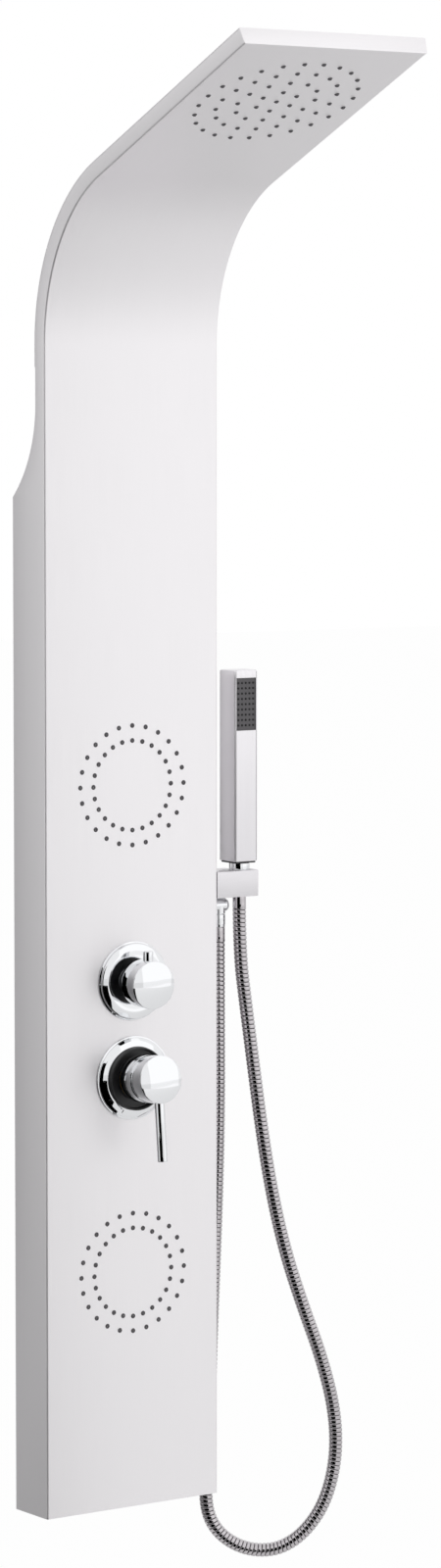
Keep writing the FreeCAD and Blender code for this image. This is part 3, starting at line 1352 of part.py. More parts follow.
def make_holder():
    """The block that the hose's cone nut sits in, with a slot at the back for the hose."""
    back_y = FRONT + " + holder_depth"
    end = HOLDER_END_X
    edge = "holder_edge_round"
    points = [(side_x(FRONT), FRONT), (end + " - " + edge, FRONT), (end, FRONT + " + " + edge),
              (end, back_y + " - " + edge), (end + " - " + edge, back_y),
              (side_x(back_y), back_y)]
    blank = prism("holder_blank", "XY_Plane", points, "holder_height",
                  at(HOLDER_BOTTOM))
    seat = taper("holder_seat", "+z", "cone_bottom_radius + free_gap",
                 "cone_top_radius + free_gap", "holder_height", HANDSET_X, HANDSET_Y,
                 at(HOLDER_BOTTOM))
    slot = block("holder_slot",
                 (HANDSET_X + " - holder_slot_half", HANDSET_X + " + holder_slot_half"),
                 (HANDSET_Y, back_y + " + holder_edge_round"),
                 (at(HOLDER_BOTTOM) + " - holder_edge_round",
                  at(HOLDER_BOTTOM) + " + 2 * holder_height"))
    threads = []
    screws = []
    head_slab = side_slab("holder_head_slab", "sheet_gauge + holder_head_gauge",
                          "sheet_gauge", ELBOW_HEIGHT)
    for index, y in enumerate(HOLDER_SCREW_YS):
        start = "column_width / 2 - holder_screw_radius - sheet_gauge"
        shank = rod("holder_screw_shank", "+x", "holder_screw_radius", "holder_screw_length",
                    start, y, HOLDER_SCREW_Z)
        head = doc.addObject("Part::Common", "holder_screw_head")
        head.Base = head_slab
        head.Tool = rod("holder_head_rod", "+x", "holder_screw_head", "column_width / 4",
                        "column_width / 2 - column_width / 8", y, HOLDER_SCREW_Z)
        screws.append(fuse("holder_screw_%d" % index, shank, head))
        threads.append(rod("holder_thread", "+x", "holder_screw_radius",
                           "holder_screw_length", start, y, HOLDER_SCREW_Z))
    finish(cut("holder_bored", blank, seat, slot, *threads), "handset_holder")
    finish(group("holder_screw_pair", screws), "holder_screws")


def make_hose_end():
    """What turns and lifts with the hose's upper end: the ferrule and the nut round it."""
    finish(handset_turned("ferrule_turned", [
        ("hose_bore_radius", HOSE_END), ("ferrule_stem_radius", HOSE_END),
        ("ferrule_stem_radius", FERRULE_SHOULDER), ("ferrule_flange_radius", FERRULE_SHOULDER),
        ("ferrule_flange_radius", FERRULE_TOP), ("hose_bore_radius", FERRULE_TOP)]),
        "hose_ferrule")
    holder_top = "(%s + holder_height)" % HOLDER_BOTTOM
    shoulder = FERRULE_SHOULDER + " - free_gap"
    finish(handset_turned("cone_turned", [
        ("cone_bore_radius", HOLDER_BOTTOM), ("cone_bottom_radius", HOLDER_BOTTOM),
        ("cone_top_radius", holder_top), ("cone_top_radius", CONE_TOP),
        ("cone_thread_radius", CONE_TOP),
        ("cone_thread_radius", shoulder), ("cone_bore_radius", shoulder)]), "handset_cone_nut")
    seal_low = FERRULE_TOP + " + free_gap"
    finish(handset_turned("seal_turned", washer_points(
        "hose_bore_radius", "ferrule_flange_radius", seal_low, seal_low + " + seal_gauge")),
        "hose_washer")


def handset_section(inset):
    """Outline of the handset, wider at the back than at the front."""
    front_y = "(%s - handset_depth / 2 + %s)" % (HANDSET_Y, inset)
    back_y = "(%s + handset_depth / 2 - %s)" % (HANDSET_Y, inset)
    half = "(handset_width / 2 + handset_flare * (%s - %s + handset_depth / 2) - (%s))"
    edge = "handset_edge"
    rows = ((front_y, edge), (front_y + " + " + edge, "0"), (back_y + " - " + edge, "0"),
            (back_y, edge))
    right = []
    for y, corner in rows:
        right.append((HANDSET_X + " + " + half % (y, HANDSET_Y, inset) + " - " + corner, y))
    left = [("2 * %s - (%s)" % (HANDSET_X, x), y) for x, y in reversed(right)]
    return right + left


def make_handset():
    """The square handset: body, face plate, nozzle mat, spray chamber, tube and plug."""
    bottom = at(HANDSET_BOTTOM)
    front_y = "(%s - handset_depth / 2)" % HANDSET_Y
    outer = prism("handset_outer", "XY_Plane", handset_section("0"), "handset_height", bottom)
    cavity = prism("handset_cavity", "XY_Plane", handset_section("handset_wall"),
                   "handset_height - 2 * handset_wall", bottom + " + handset_wall")
    half = "(handset_width / 2 - handset_wall - free_gap)"
    window_x = (HANDSET_X + " - " + half, HANDSET_X + " + " + half)
    window_top = "(%s + handset_height - face_window_top)" % bottom
    window_z = (window_top + " - face_window_height", window_top)
    window = block("face_window", window_x, (front_y + " - handset_wall", front_y + " + 2 * handset_wall"),
                   window_z)
    thread_bottom = "%s + free_gap + seal_gauge" % at(FERRULE_TOP)
    stub = handset_rod("handset_stub", "-z", "cone_thread_radius",
                       "%s + handset_wall - (%s)" % (bottom, thread_bottom),
                       bottom + " + handset_wall")
    stub_bore = handset_rod("handset_stub_bore", "+z", "handset_tube_radius",
                            "2 * cone_thread_radius + handset_wall", thread_bottom)
    hollow = cut("handset_hollow", outer, cavity, window)
    finish(cut("handset_bored", fuse("handset_with_stub", hollow, stub), stub_bore),
           "handset_body")

    plug = prism("handset_plug_blank", "XY_Plane", handset_section("handset_plug_inset"),
                 "handset_plug_gauge", bottom + " - handset_plug_gauge")
    plug_hole = handset_rod("handset_plug_hole", "-z", "cone_thread_radius",
                            "2 * handset_plug_gauge", bottom)
    finish(cut("handset_plug", plug, plug_hole), "handset_base_plug")

    plate_front = "(%s + face_recess)" % front_y
    plate_back = "(%s + face_plate_gauge)" % plate_front
    gap_x = ("%s + running_gap" % window_x[0], "%s - running_gap" % window_x[1])
    gap_z = ("%s + running_gap" % window_z[0], "%s - running_gap" % window_z[1])
    plate = block("face_plate_blank", gap_x, (plate_front, plate_back), gap_z)
    wall = value("handset_wall")
    holes = shaped("face_holes", face_pins(value("face_hole_radius") + value("running_gap"),
                                           value(plate_front) - wall, value(plate_back) + wall,
                                           window_z))
    finish(cut("face_plate_holed", plate, holes), "handset_face_plate")

    chamber_back = "(%s + spray_chamber_depth)" % plate_back
    mat_back = "(%s + mat_gauge)" % plate_back
    box = block("spray_box", gap_x, (plate_back, chamber_back), gap_z)
    hollow_x, hollow_z = (("%s + handset_wall" % low, "%s - handset_wall" % high)
                          for low, high in (gap_x, gap_z))
    inside = block("spray_hollow", hollow_x, (plate_front, chamber_back + " - handset_wall"),
                   hollow_z)
    inlet = handset_rod("spray_inlet", "+z", "feed_bore_radius", "4 * handset_wall",
                        gap_z[0] + " - 2 * handset_wall")
    finish(cut("spray_box_open", box, inside, inlet), "handset_spray_chamber")

    mat = Part.makeBox(value(hollow_x[1]) - value(hollow_x[0]), value("mat_gauge"),
                       value(hollow_z[1]) - value(hollow_z[0]),
                       Vector(value(hollow_x[0]), value(plate_back), value(hollow_z[0])))
    pins = face_pins(value("face_hole_radius"), value(plate_front) - value("face_nozzle_reach"),
                     value(mat_back) - value("mat_gauge") / 2, window_z)
    finish(shaped("face_mat", mat.fuse(pins.Solids)), "handset_nozzle_mat")

    tube_bottom = bottom + " + handset_wall"
    tube_length = "%s - (%s)" % (gap_z[0], tube_bottom)
    pipe = handset_rod("handset_pipe", "+z", "handset_tube_radius", tube_length, tube_bottom)
    pipe_bore = handset_rod("handset_pipe_bore", "+z", "feed_bore_radius", tube_length,
                            tube_bottom)
    finish(cut("handset_pipe_hollow", pipe, pipe_bore), "handset_water_tube")


def face_pins(radius, front_y, back_y, window_z):
    """Round pins on the grid of the handset's nozzles, between two depths."""
    middle_x = value(HANDSET_X)
    middle_z = (value(window_z[0]) + value(window_z[1])) / 2
    columns = round(value("face_columns"))
    rows = round(value("face_rows"))
    pins = []
    for column in range(columns):
        for row in range(rows):
            x = middle_x + (column - (columns - 1) / 2) * value("face_column_step")
            z = middle_z + (row - (rows - 1) / 2) * value("face_row_step")
            pins.append(Part.makeCylinder(radius, back_y - front_y, Vector(x, front_y, z),
                                          Vector(0, 1, 0)))
    return Part.makeCompound(pins)


def check_all():
    """Stop if anything in the document failed or any sub-part is empty or broken."""
    doc.recompute()
    for obj in doc.Objects:
        if {"Invalid", "Error"} & set(obj.State):
            raise RuntimeError("%s did not build: %s" % (obj.Name, obj.State))
    for obj in FINISHED:
        if obj.Shape.isNull() or not obj.Shape.isValid() or not obj.Shape.Solids:
            raise RuntimeError("%s has no sound solid" % obj.Label)


def write_all():
    """Write each sub-part to a file of its own name."""
    os.makedirs("parts", exist_ok=True)
    for obj in FINISHED:
        obj.Shape.exportStep("parts/%s.step" % obj.Label)
    print("%d sub-parts" % len(FINISHED))


make_column()
make_cover()
make_end_cap()
make_wall_fixing("upper", "hanger_height")
make_wall_fixing("lower", "lower_fixing_height")
make_head()
make_jet("upper_jet", UPPER_JET_HEIGHT, "-port_spread", -1)
make_jet("lower_jet", "lower_jet_height", "-lower_port_reach", 1)
make_diverter_body()
make_diverter_trim()
make_mixer_body()
make_inlets()
make_mixer_trim()
make_lever()
make_link()
make_feeds()
make_elbow()
make_shower_hose()
make_holder()
make_hose_end()
make_handset()
check_all()
write_all()
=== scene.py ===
"""Looks of a wall-hung shower panel column, built round its packed construction model.

World frame: +X to the right of someone facing the panel, +Y into the wall, +Z up, in metres. Sizes
are written in millimetres and heights are measured up from the bottom edge of the column.
"""
import json
import logging
import math
from dataclasses import dataclass, field, replace
from enum import Enum
from typing import Any, Callable, Iterable, Sequence

import bpy
from mathutils import Matrix, Vector

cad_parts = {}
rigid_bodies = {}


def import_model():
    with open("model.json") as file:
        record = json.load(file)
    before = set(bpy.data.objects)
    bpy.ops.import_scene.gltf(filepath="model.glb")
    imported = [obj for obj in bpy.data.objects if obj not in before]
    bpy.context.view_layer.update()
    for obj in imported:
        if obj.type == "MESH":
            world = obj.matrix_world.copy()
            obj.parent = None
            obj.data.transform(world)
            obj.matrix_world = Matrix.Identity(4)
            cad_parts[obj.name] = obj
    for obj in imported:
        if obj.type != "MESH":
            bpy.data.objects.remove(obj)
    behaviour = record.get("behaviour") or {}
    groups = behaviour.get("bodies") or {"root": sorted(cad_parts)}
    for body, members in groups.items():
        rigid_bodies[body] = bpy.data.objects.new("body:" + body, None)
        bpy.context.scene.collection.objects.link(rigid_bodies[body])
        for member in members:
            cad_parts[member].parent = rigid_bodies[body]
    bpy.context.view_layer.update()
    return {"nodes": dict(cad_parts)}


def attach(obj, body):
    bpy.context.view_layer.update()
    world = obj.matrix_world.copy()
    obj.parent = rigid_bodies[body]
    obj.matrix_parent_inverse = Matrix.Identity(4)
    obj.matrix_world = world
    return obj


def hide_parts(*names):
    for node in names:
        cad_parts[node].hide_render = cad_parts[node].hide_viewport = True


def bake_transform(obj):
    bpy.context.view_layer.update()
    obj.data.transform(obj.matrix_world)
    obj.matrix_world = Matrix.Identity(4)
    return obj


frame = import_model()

LOG = logging.getLogger("shower_panel")

MM = 0.001
HANGER_HEIGHT = 960.0   # of the frame's origin above the column's bottom
FRONT_Y = -53.0   # of the column's face
LONGEST_EASE = 0.49   # share of an edge that one rounded corner may use
POLE = 1e-6   # a radius below this is a point on the axis
WHITE = (1.0, 1.0, 1.0, 1.0)
ZERO = (0.0, 0.0, 0.0)
PATTERN_RANGE = (0.3, 0.7)   # nearly all of a noise pattern's values lie between these

Pair = tuple[float, float]
Triple = tuple[float, float, float]
Corners = Sequence[tuple[float, ...]]   # (a, b), or (a, b, radius) for a rounded corner
Tones, Range = tuple[str, ...], tuple[float, ...]
Settings = dict[str | int, Any]
Tree, Node, Socket = bpy.types.NodeTree, bpy.types.Node, bpy.types.NodeSocket
Thing, Material = bpy.types.Object, bpy.types.Material


# ---- small helpers ----

def spot(x: float, y: float, height: float) -> Vector:
    """World place of a point in millimetres whose height is counted from the column's bottom."""
    return Vector((x, y, height - HANGER_HEIGHT)) * MM


def linear(colour: str) -> tuple[float, ...]:
    """Turn an sRGB hex colour into linear RGBA.

    Args:
        colour: a hash and six hex digits.

    Returns:
        The linear red, green and blue, and an alpha of one.
    """
    shares = [int(colour[start:start + 2], 16) / 255 for start in (1, 3, 5)]
    return (*(share / 12.92 if share <= 0.04045 else ((share + 0.055) / 1.055) ** 2.4
              for share in shares), 1.0)


def add_node(tree: Tree, kind: str, settings: Settings | None = None,
             links: dict[str | int, Socket] | None = None) -> Node:
    """Add a shader node with its settings and links.

    Args:
        tree: the material's or world's node tree.
        kind: Blender's name for the node type.
        settings: values by socket name or number, or by the node's own property name.
        links: the output socket that feeds each named or numbered input.

    Returns:
        The new node.
    """
    made = tree.nodes.new(kind)
    for name, value in (settings or {}).items():
        if isinstance(name, int) or name in made.inputs:
            made.inputs[name].default_value = value
        else:
            setattr(made, name, value)
    for name, source in (links or {}).items():
        tree.links.new(source, made.inputs[name])
    return made


def put(name: str, data: Any, place: Sequence[float] = ZERO,
        turn: Sequence[float] = ZERO) -> Thing:
    """Add an object to the scene.

    Args:
        name: the object's name.
        data: its mesh, curve, camera or lamp.
        place: where it stands, in metres.
        turn: its turns about X, Y and Z, in radians.

    Returns:
        The new object.
    """
    made = bpy.data.objects.new(name, data)
    made.location = place
    made.rotation_euler = turn
    bpy.context.scene.collection.objects.link(made)
    return made


def facing(height: float) -> Matrix:
    """Frame of a fitting on the column's face: local Z points out of the face, local Y up."""
    return Matrix.Translation(spot(0.0, FRONT_Y, height)) @ Matrix.Rotation(math.pi / 2, 4, "X")


def tipped(base: Matrix, out: float, degrees: float) -> Matrix:
    """Frame some millimetres out along a frame's own Z, and then tipped about its X."""
    return (base @ Matrix.Translation(Vector((0.0, 0.0, out)) * MM)
            @ Matrix.Rotation(math.radians(degrees), 4, "X"))


def rounded(points: Corners, steps: int = 5) -> list[Pair]:
    """Ease the corners of a closed outline with arcs.

    Args:
        points: the corners, in millimetres.
        steps: straight pieces in each arc.

    Returns:
        The outline's points, with an arc in place of each corner that has a radius.
    """
    result: list[Pair] = []
    for index, corner in enumerate(points):
        here = Vector(corner[:2])
        if len(corner) < 3:
            result.append((here.x, here.y))
            continue
        back = Vector(points[index - 1][:2]) - here
        ahead = Vector(points[(index + 1) % len(points)][:2]) - here
        half = back.angle(ahead) / 2
        reach = min(corner[2] / math.tan(half), LONGEST_EASE * back.length,
                    LONGEST_EASE * ahead.length)
        inward = (back.normalized() + ahead.normalized()).normalized()
        centre = here + inward * (reach * math.tan(half)) / math.sin(half)
        first = here + back.normalized() * reach - centre
        last = here + ahead.normalized() * reach - centre
        turn = first.angle_signed(last)
        for step in range(steps + 1):
            spoke = first.copy()
            spoke.rotate(Matrix.Rotation(-turn * step / steps, 2))
            result.append((centre.x + spoke.x, centre.y + spoke.y))
    return result


def mirrored(corners: Corners) -> Corners:
    """The corners of a right half, and then the same on the left in the opposite order."""
    return [*corners, *((-x, y, radius) for x, y, radius in reversed(corners))]


def crown(radius: float, rim: float, top: float, steps: int = 12) -> list[Pair]:
    """Shallow spherical dome, from just inside its rim to its middle.

    Args:
        radius: the rim's radius.
        rim: distance along the axis of the rim.
        top: distance along the axis of the middle.
        steps: straight pieces.

    Returns:
        (radius, distance) pairs.
    """
    rise = top - rim
    ball = (radius ** 2 + rise ** 2) / (2 * rise)
    spread = math.asin(radius / ball)
    return [(ball * math.sin(spread * (1 - step / steps)),
             top - ball * (1 - math.cos(spread * (1 - step / steps))))
            for step in range(1, steps + 1)]


def ring_places(radius: float, count: int, turn: float = 0.0) -> list[Pair]:
    """Places evenly round a ring, clockwise from the top as seen from in front."""
    angles = [math.radians(turn + 360 * index / count) for index in range(count)]
    return [(radius * math.sin(angle), radius * math.cos(angle)) for angle in angles]


# ---- finishes ----

class Slot(Enum):
    """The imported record's material slots."""

    PANEL_STEEL = "panel_steel"
    PLATED_STEEL = "plated_steel"
    NOZZLE_RUBBER = "nozzle_rubber"
    MOULDED_PLASTIC = "moulded_plastic"
    RAW_BRASS = "raw_brass"
    CHROME_PLATE = "chrome_plate"
    SATIN_CHROME = "satin_chrome"
    HOSE_RUBBER = "hose_rubber"


def follow(tree: Tree, shader: Node, pattern: Socket, tones: Sequence[str] = (),
           rough: Sequence[float] = (), relief: Sequence[float] = ()) -> None:
    """Let a pattern drive what it is asked to of a surface.

    Args:
        tree: the material's node tree.
        shader: its surface shader.
        pattern: the output that varies.
        tones: the hex colours at the pattern's low and high end, unless there is only one.
        rough: the roughness at the ends of its middle range, unless there is only one.
        relief: the relief's strength, and its depth in millimetres.
    """
    if len(tones) > 1:
        mixed = add_node(tree, "ShaderNodeMix",
                         {"data_type": "RGBA", 6: linear(tones[0]), 7: linear(tones[1])},
                         {0: pattern})
        tree.links.new(mixed.outputs[2], shader.inputs["Base Color"])
    if len(rough) > 1:
        level = add_node(tree, "ShaderNodeMapRange",
                         {"From Min": PATTERN_RANGE[0], "From Max": PATTERN_RANGE[1],
                          "To Min": rough[0], "To Max": rough[1]}, {"Value": pattern})
        tree.links.new(level.outputs["Result"], shader.inputs["Roughness"])
    if relief:
        bump = add_node(tree, "ShaderNodeBump",
                        {"Strength": relief[0], "Distance": relief[1] * MM}, {"Height": pattern})
        tree.links.new(bump.outputs["Normal"], shader.inputs["Normal"])


@dataclass(frozen=True)
class Finish:
    """A surface finish that varies with a cloudy pattern; its material is made once."""

    name: str
    slot: Slot
    tones: Tones   # one colour, or a darker and a lighter one
    rough: Range   # one roughness, or the two that it runs between
    patch: float   # millimetres across one patch of the pattern
    detail: float = 2.0
    relief: Range = ()   # strength, and depth in millimetres
    metallic: float = 1.0
    ior: float | None = None

    def material(self) -> Material:
        """The finish's material, made when it is first asked for."""
        made = bpy.data.materials.get(self.name)
        if made is None:
            made = bpy.data.materials.new(self.name)
            made.use_nodes = True
            shader = made.node_tree.nodes["Principled BSDF"]
            shader.inputs["Base Color"].default_value = linear(self.tones[-1])
            shader.inputs["Roughness"].default_value = self.rough[0]
            shader.inputs["Metallic"].default_value = self.metallic
            if self.ior is not None:
                shader.inputs["IOR"].default_value = self.ior
            self.dress(made.node_tree, shader)
        return made

    def dress(self, tree: Tree, shader: Node) -> None:
        """Add the nodes that vary the surface: soft clouds, unless the finish says otherwise."""
        place = add_node(tree, "ShaderNodeTexCoord")
        clouds = add_node(tree, "ShaderNodeTexNoise",
                          {"Scale": 1 / (self.patch * MM), "Detail": self.detail},
                          {"Vector": place.outputs["Object"]})
        follow(tree, shader, clouds.outputs["Fac"], self.tones, self.rough, self.relief)


@dataclass(frozen=True)
class BrushedSheet(Finish):
    """Stainless steel sheet, finely brushed along its length and left satin.

    The eye sees an even pale silver with hardly any grain and broad soft reflections.
    """

    name: str = "satin_stainless_sheet"
    slot: Slot = Slot.PANEL_STEEL
    tones: Tones = ("#EFEDEF",)
    rough: Range = (0.4, 0.5)
    patch: float = 0.9   # across the grain; the real grit lines are 0.1 wide, too fine to show
    detail: float = 3.0
    fine_share: float = 0.6   # how strong the grain's finer detail is
    grain_length: float = 90.0
    relief: Range = (0.012, 0.4)
    metallic: float = 0.86   # below 1 for the even scatter of the finest scratches
    grain_axis: int = 1   # the long way of the grain; 1 is the sheet's own length
    along_uv: bool = True   # whether the grain follows the bent sheet

    def dress(self, tree: Tree, shader: Node) -> None:
        """Long fine grain in the roughness and a trace of it in relief."""
        widths = [self.patch] * 3
        widths[self.grain_axis] = self.grain_length
        place = add_node(tree, "ShaderNodeTexCoord")
        stretched = add_node(tree, "ShaderNodeMapping",
                             {"Scale": [1 / (width * MM) for width in widths]},
                             {"Vector": place.outputs["UV" if self.along_uv else "Object"]})
        grain = add_node(tree, "ShaderNodeTexNoise",
                         {"Scale": 1.0, "Detail": self.detail, "Roughness": self.fine_share},
                         {"Vector": stretched.outputs["Vector"]})
        follow(tree, shader, grain.outputs["Fac"], rough=self.rough, relief=self.relief)


@dataclass(frozen=True)
class ChromePlate(Finish):
    """Brass castings and turnings, polished and chrome plated.

    The eye sees a cool mirror with crisp dark and white reflections and a trace of wiping.
    """

    name: str = "polished_chrome_on_brass"
    slot: Slot = Slot.CHROME_PLATE
    tones: Tones = ("#E9EAEC",)
    rough: Range = (0.0315, 0.0675)   # wiped clean, and smeared
    patch: float = 18.0


@dataclass(frozen=True)
class Silicone(Finish):
    """Moulded silicone or EPDM rubber.

    The eye sees a soft dark grey with no sharp glints and a fine mould texture.
    """

    name: str = "moulded_grey_silicone"
    slot: Slot = Slot.NOZZLE_RUBBER
    tones: Tones = ("#4B494C", "#5C5A5D")
    rough: Range = (0.5,)
    patch: float = 0.6
    relief: Range = (0.15, 0.1)
    metallic: float = 0.0
    ior: float | None = 1.41


@dataclass(frozen=True)
class MouldedPlastic(Finish):
    """Injection moulded acetal, nylon or ABS from a spark-eroded tool.

    The eye sees an even colour with a low sheen and a fine leathery grain.
    """

    name: str = "moulded_white_acetal"
    slot: Slot = Slot.MOULDED_PLASTIC
    tones: Tones = ("#BDBCB8", "#C9C8C4")
    rough: Range = (0.42,)
    patch: float = 25.0
    metallic: float = 0.0
    ior: float | None = 1.48
    grain: float = 0.8   # millimetres
    grain_relief: Range = (0.12, 0.08)

    def dress(self, tree: Tree, shader: Node) -> None:
        """A slight drift of colour, and the tool's grain as relief."""
        super().dress(tree, shader)
        place = add_node(tree, "ShaderNodeTexCoord")
        cells = add_node(tree, "ShaderNodeTexVoronoi", {"Scale": 1 / (self.grain * MM)},
                         {"Vector": place.outputs["Object"]})
        follow(tree, shader, cells.outputs["Distance"], relief=self.grain_relief)


@dataclass(frozen=True)
class CastBrass(Finish):
    """Dezincification-resistant brass, cast and machined, left bare.

    The eye sees a warm yellow metal, satin and slightly mottled.
    """

    name: str = "machined_bare_brass"
    slot: Slot = Slot.RAW_BRASS
    tones: Tones = ("#A98A52", "#C4A569")
    rough: Range = (0.25, 0.42)
    patch: float = 3.0
    detail: float = 4.0
    relief: Range = (0.1, 0.2)


@dataclass(frozen=True)
class ZincPlate(Finish):
    """Pressed steel, zinc plated.

    The eye sees a cool dull silver with faint crystal patches.
    """

    name: str = "zinc_plated_steel"
    slot: Slot = Slot.PLATED_STEEL
    tones: Tones = ("#A7ACB2", "#BCC1C6")
    rough: Range = (0.33, 0.45)
    patch: float = 6.0

    def dress(self, tree: Tree, shader: Node) -> None:
        """Flat crystal cells that differ a little in tone and roughness."""
        place = add_node(tree, "ShaderNodeTexCoord")
        cells = add_node(tree, "ShaderNodeTexVoronoi", {"Scale": 1 / (self.patch * MM)},
                         {"Vector": place.outputs["Object"]})
        lot = add_node(tree, "ShaderNodeSeparateColor", None, {"Color": cells.outputs["Color"]})
        follow(tree, shader, lot.outputs["Red"], self.tones)
        follow(tree, shader, lot.outputs["Green"], rough=self.rough)


SHEET = BrushedSheet()
BRUSHED = BrushedSheet(name="brushed_nickel_on_brass", slot=Slot.SATIN_CHROME,
                       tones=("#EDEBEE",), rough=(0.3, 0.5), patch=0.7, grain_length=60.0,
                       relief=(0.03, 0.4), grain_axis=2, along_uv=False)
# The holder's finish: the handset's brushed nickel brushed across, with a darker tone that is
# painted shade.
BRUSHED_ACROSS_SHADED = replace(BRUSHED, name="cross_brushed_nickel_shaded_tone", tones=("#DFDDE0",),
                         grain_length=30.0, relief=(0.02, 0.4), grain_axis=0)
CHROME = ChromePlate()
HOSE_STRIP = replace(CHROME, name="chrome_plated_wound_brass_strip", tones=("#C4C0C3",))
SILICONE = Silicone()
DARK_RUBBER = Silicone(name="black_epdm_rubber", slot=Slot.HOSE_RUBBER,
                       tones=("#1E1E20", "#2A2A2C"), rough=(0.55,), patch=1.2)
NOZZLE_RUBBER = replace(DARK_RUBBER, slot=Slot.NOZZLE_RUBBER)
ACETAL = MouldedPlastic()
BLACK_NYLON = MouldedPlastic(name="moulded_black_nylon", tones=("#1A1A1C", "#232325"),
                             rough=(0.38,))
GREY_ABS = MouldedPlastic(name="moulded_grey_abs_face", tones=("#4A484B", "#565457"),
                          rough=(0.4,), grain=0.5)
BRASS = CastBrass()
ZINC = ZincPlate()


# ---- meshes ----

class Shape:
    """Points and faces gathered into one mesh."""

    def __init__(self) -> None:
        """Start with nothing in it."""
        self.points: list[Vector] = []
        self.faces: list[tuple[int, ...]] = []
        self.uvs: list[Pair] = []   # a place in the grain for each point, or nothing at all

    def add(self, points: Iterable[Vector], faces: Iterable[Sequence[int]]) -> None:
        """Add points and the faces between them, numbered from the first new point."""
        base = len(self.points)
        self.points += points
        self.faces += [tuple(base + index for index in face) for face in faces]

    def turned(self, outline: Sequence[Pair], where: Matrix, steps: int = 96) -> "Shape":
        """Revolve a closed outline about a frame's own Z axis.

        Args:
            outline: (radius, distance along the axis) pairs, in order; radius 0 is a pole.
            where: the axis's frame, in metres.
            steps: faces round the axis.

        Returns:
            This shape.
        """
        points: list[Vector] = []
        starts: list[tuple[int, bool]] = []
        for radius, distance in outline:
            pole = radius < POLE
            starts.append((len(points), pole))
            for step in range(1 if pole else steps):
                angle = 2 * math.pi * step / steps
                local = Vector((radius * math.cos(angle), radius * math.sin(angle), distance))
                points.append(where @ (local * MM))
        faces = []
        for index, (start, pole) in enumerate(starts):
            after, after_pole = starts[(index + 1) % len(starts)]
            if pole and after_pole:
                continue
            for near in range(steps):
                far = (near + 1) % steps
                if pole:
                    faces.append((start, after + near, after + far))
                elif after_pole:
                    faces.append((start + near, after, start + far))
                else:
                    faces.append((start + near, after + near, after + far, start + far))
        self.add(points, faces)
        return self

    def lofted(self, rings: Sequence[Sequence[Vector]], capped: bool = True,
               opening: tuple[int, int] | None = None) -> "Shape":
        """Join closed rings that have as many points each.

        Args:
            rings: rings of points in metres, from one end to the other.
            capped: whether flat faces close both ends.
            opening: the ring and the place in it of a face that is left open.

        Returns:
            This shape.
        """
        size = len(rings[0])
        faces: list[tuple[int, ...]] = []
        for ring in range(len(rings) - 1):
            low, high = ring * size, (ring + 1) * size
            for index in range(size):
                if (ring, index) != opening:
                    after = (index + 1) % size
                    faces.append((low + index, low + after, high + after, high + index))
        if capped:
            last = (len(rings) - 1) * size
            faces.append(tuple(range(size - 1, -1, -1)))
            faces.append(tuple(last + index for index in range(size)))
        self.add([point for ring in rings for point in ring], faces)
        return self

    def piece(self, name: str, finish: Finish, body: str, stands_for: str = "",
              sharp: float = 32.0) -> None:
        """Make the Blender object, dress it and let it ride on a body.

        Args:
            name: the piece's name.
            finish: its surface.
            body: the body that it moves with.
            stands_for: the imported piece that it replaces, if there is one.
            sharp: edges sharper than this many degrees stay crisp.
        """
        made = self.loose(name, finish, sharp)
        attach(made, body)
        if stands_for:
            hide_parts(stands_for)

    def loose(self, name: str, finish: Finish, sharp: float) -> Thing:
        """Make the Blender object with its finish and no body.

        Args:
            name: the object's name.
            finish: its surface.
            sharp: edges sharper than this many degrees stay crisp.

        Returns:
            The new object.
        """
        mesh = bpy.data.meshes.new(name)
        mesh.from_pydata(self.points, [], self.faces)
        mesh.validate()
        mesh.polygons.foreach_set("use_smooth", [True] * len(mesh.polygons))
        mesh.set_sharp_from_angle(angle=math.radians(sharp))
        if self.uvs:
            layer = mesh.uv_layers.new(name="along_sheet")
            for loop in mesh.loops:
                layer.data[loop.index].uv = self.uvs[loop.vertex_index]
        mesh.materials.append(finish.material())
        return put(name, mesh)


@dataclass(frozen=True)
class Turning:
    """A part turned about one axis: its half outline, and how it is dressed."""

    name: str
    finish: Finish
    body: str
    outline: Corners   # radius, distance along the axis, and the edge's rounding
    stands_for: str = ""
    steps: int = 96
    sharp: float = 32.0

    def build(self, where: Matrix) -> None:
        """Make the part about a frame's own Z axis."""
        shape = Shape().turned(rounded(self.outline), where, self.steps)
        shape.piece(self.name, self.finish, self.body, self.stands_for, self.sharp)


# ---- camera and light ----

@dataclass(frozen=True)
class PhotoCamera:
    """The photograph's viewpoint, solved from the column's straight edges."""

    place: Triple = (-2.117, -3.633, 0.1412)   # metres
    turn: float = 31.813   # degrees to the right of straight ahead
    drop: float = 3.898   # degrees below level
    lens: float = 95.70
    shift_down: float = 0.0531
    reach: float = 100.0

    def build(self) -> None:
        """Make the camera and let the scene look through it."""
        data = bpy.data.cameras.new("photo_camera")
        data.lens = self.lens
        data.shift_y = -self.shift_down
        data.clip_end = self.reach
        turn = (math.radians(90 - self.drop), 0.0, -math.radians(self.turn))
        bpy.context.scene.camera = put("photo_camera", data, self.place, turn)


def emptied(owner: Material | bpy.types.World) -> Tree:
    """The node tree of a material or a world, with nothing in it."""
    owner.use_nodes = True
    owner.node_tree.nodes.clear()
    return owner.node_tree


def stage_sheet(name: str, corners: Sequence[Triple], paint: Material,
                place: Triple = ZERO, turn: Triple = ZERO) -> Thing:
    """Add a four-cornered sheet that belongs to the stage.

    Args:
        name: the sheet's name.
        corners: its corners in metres, from its own middle.
        paint: its material.
        place: where its middle stands, in metres.
        turn: its turns about X, Y and Z, in radians.

    Returns:
        The new object.
    """
    mesh = bpy.data.meshes.new(name)
    mesh.from_pydata(corners, [], [(0, 1, 2, 3)])
    mesh.materials.append(paint)
    made = put(name, mesh, place, turn)
    return made


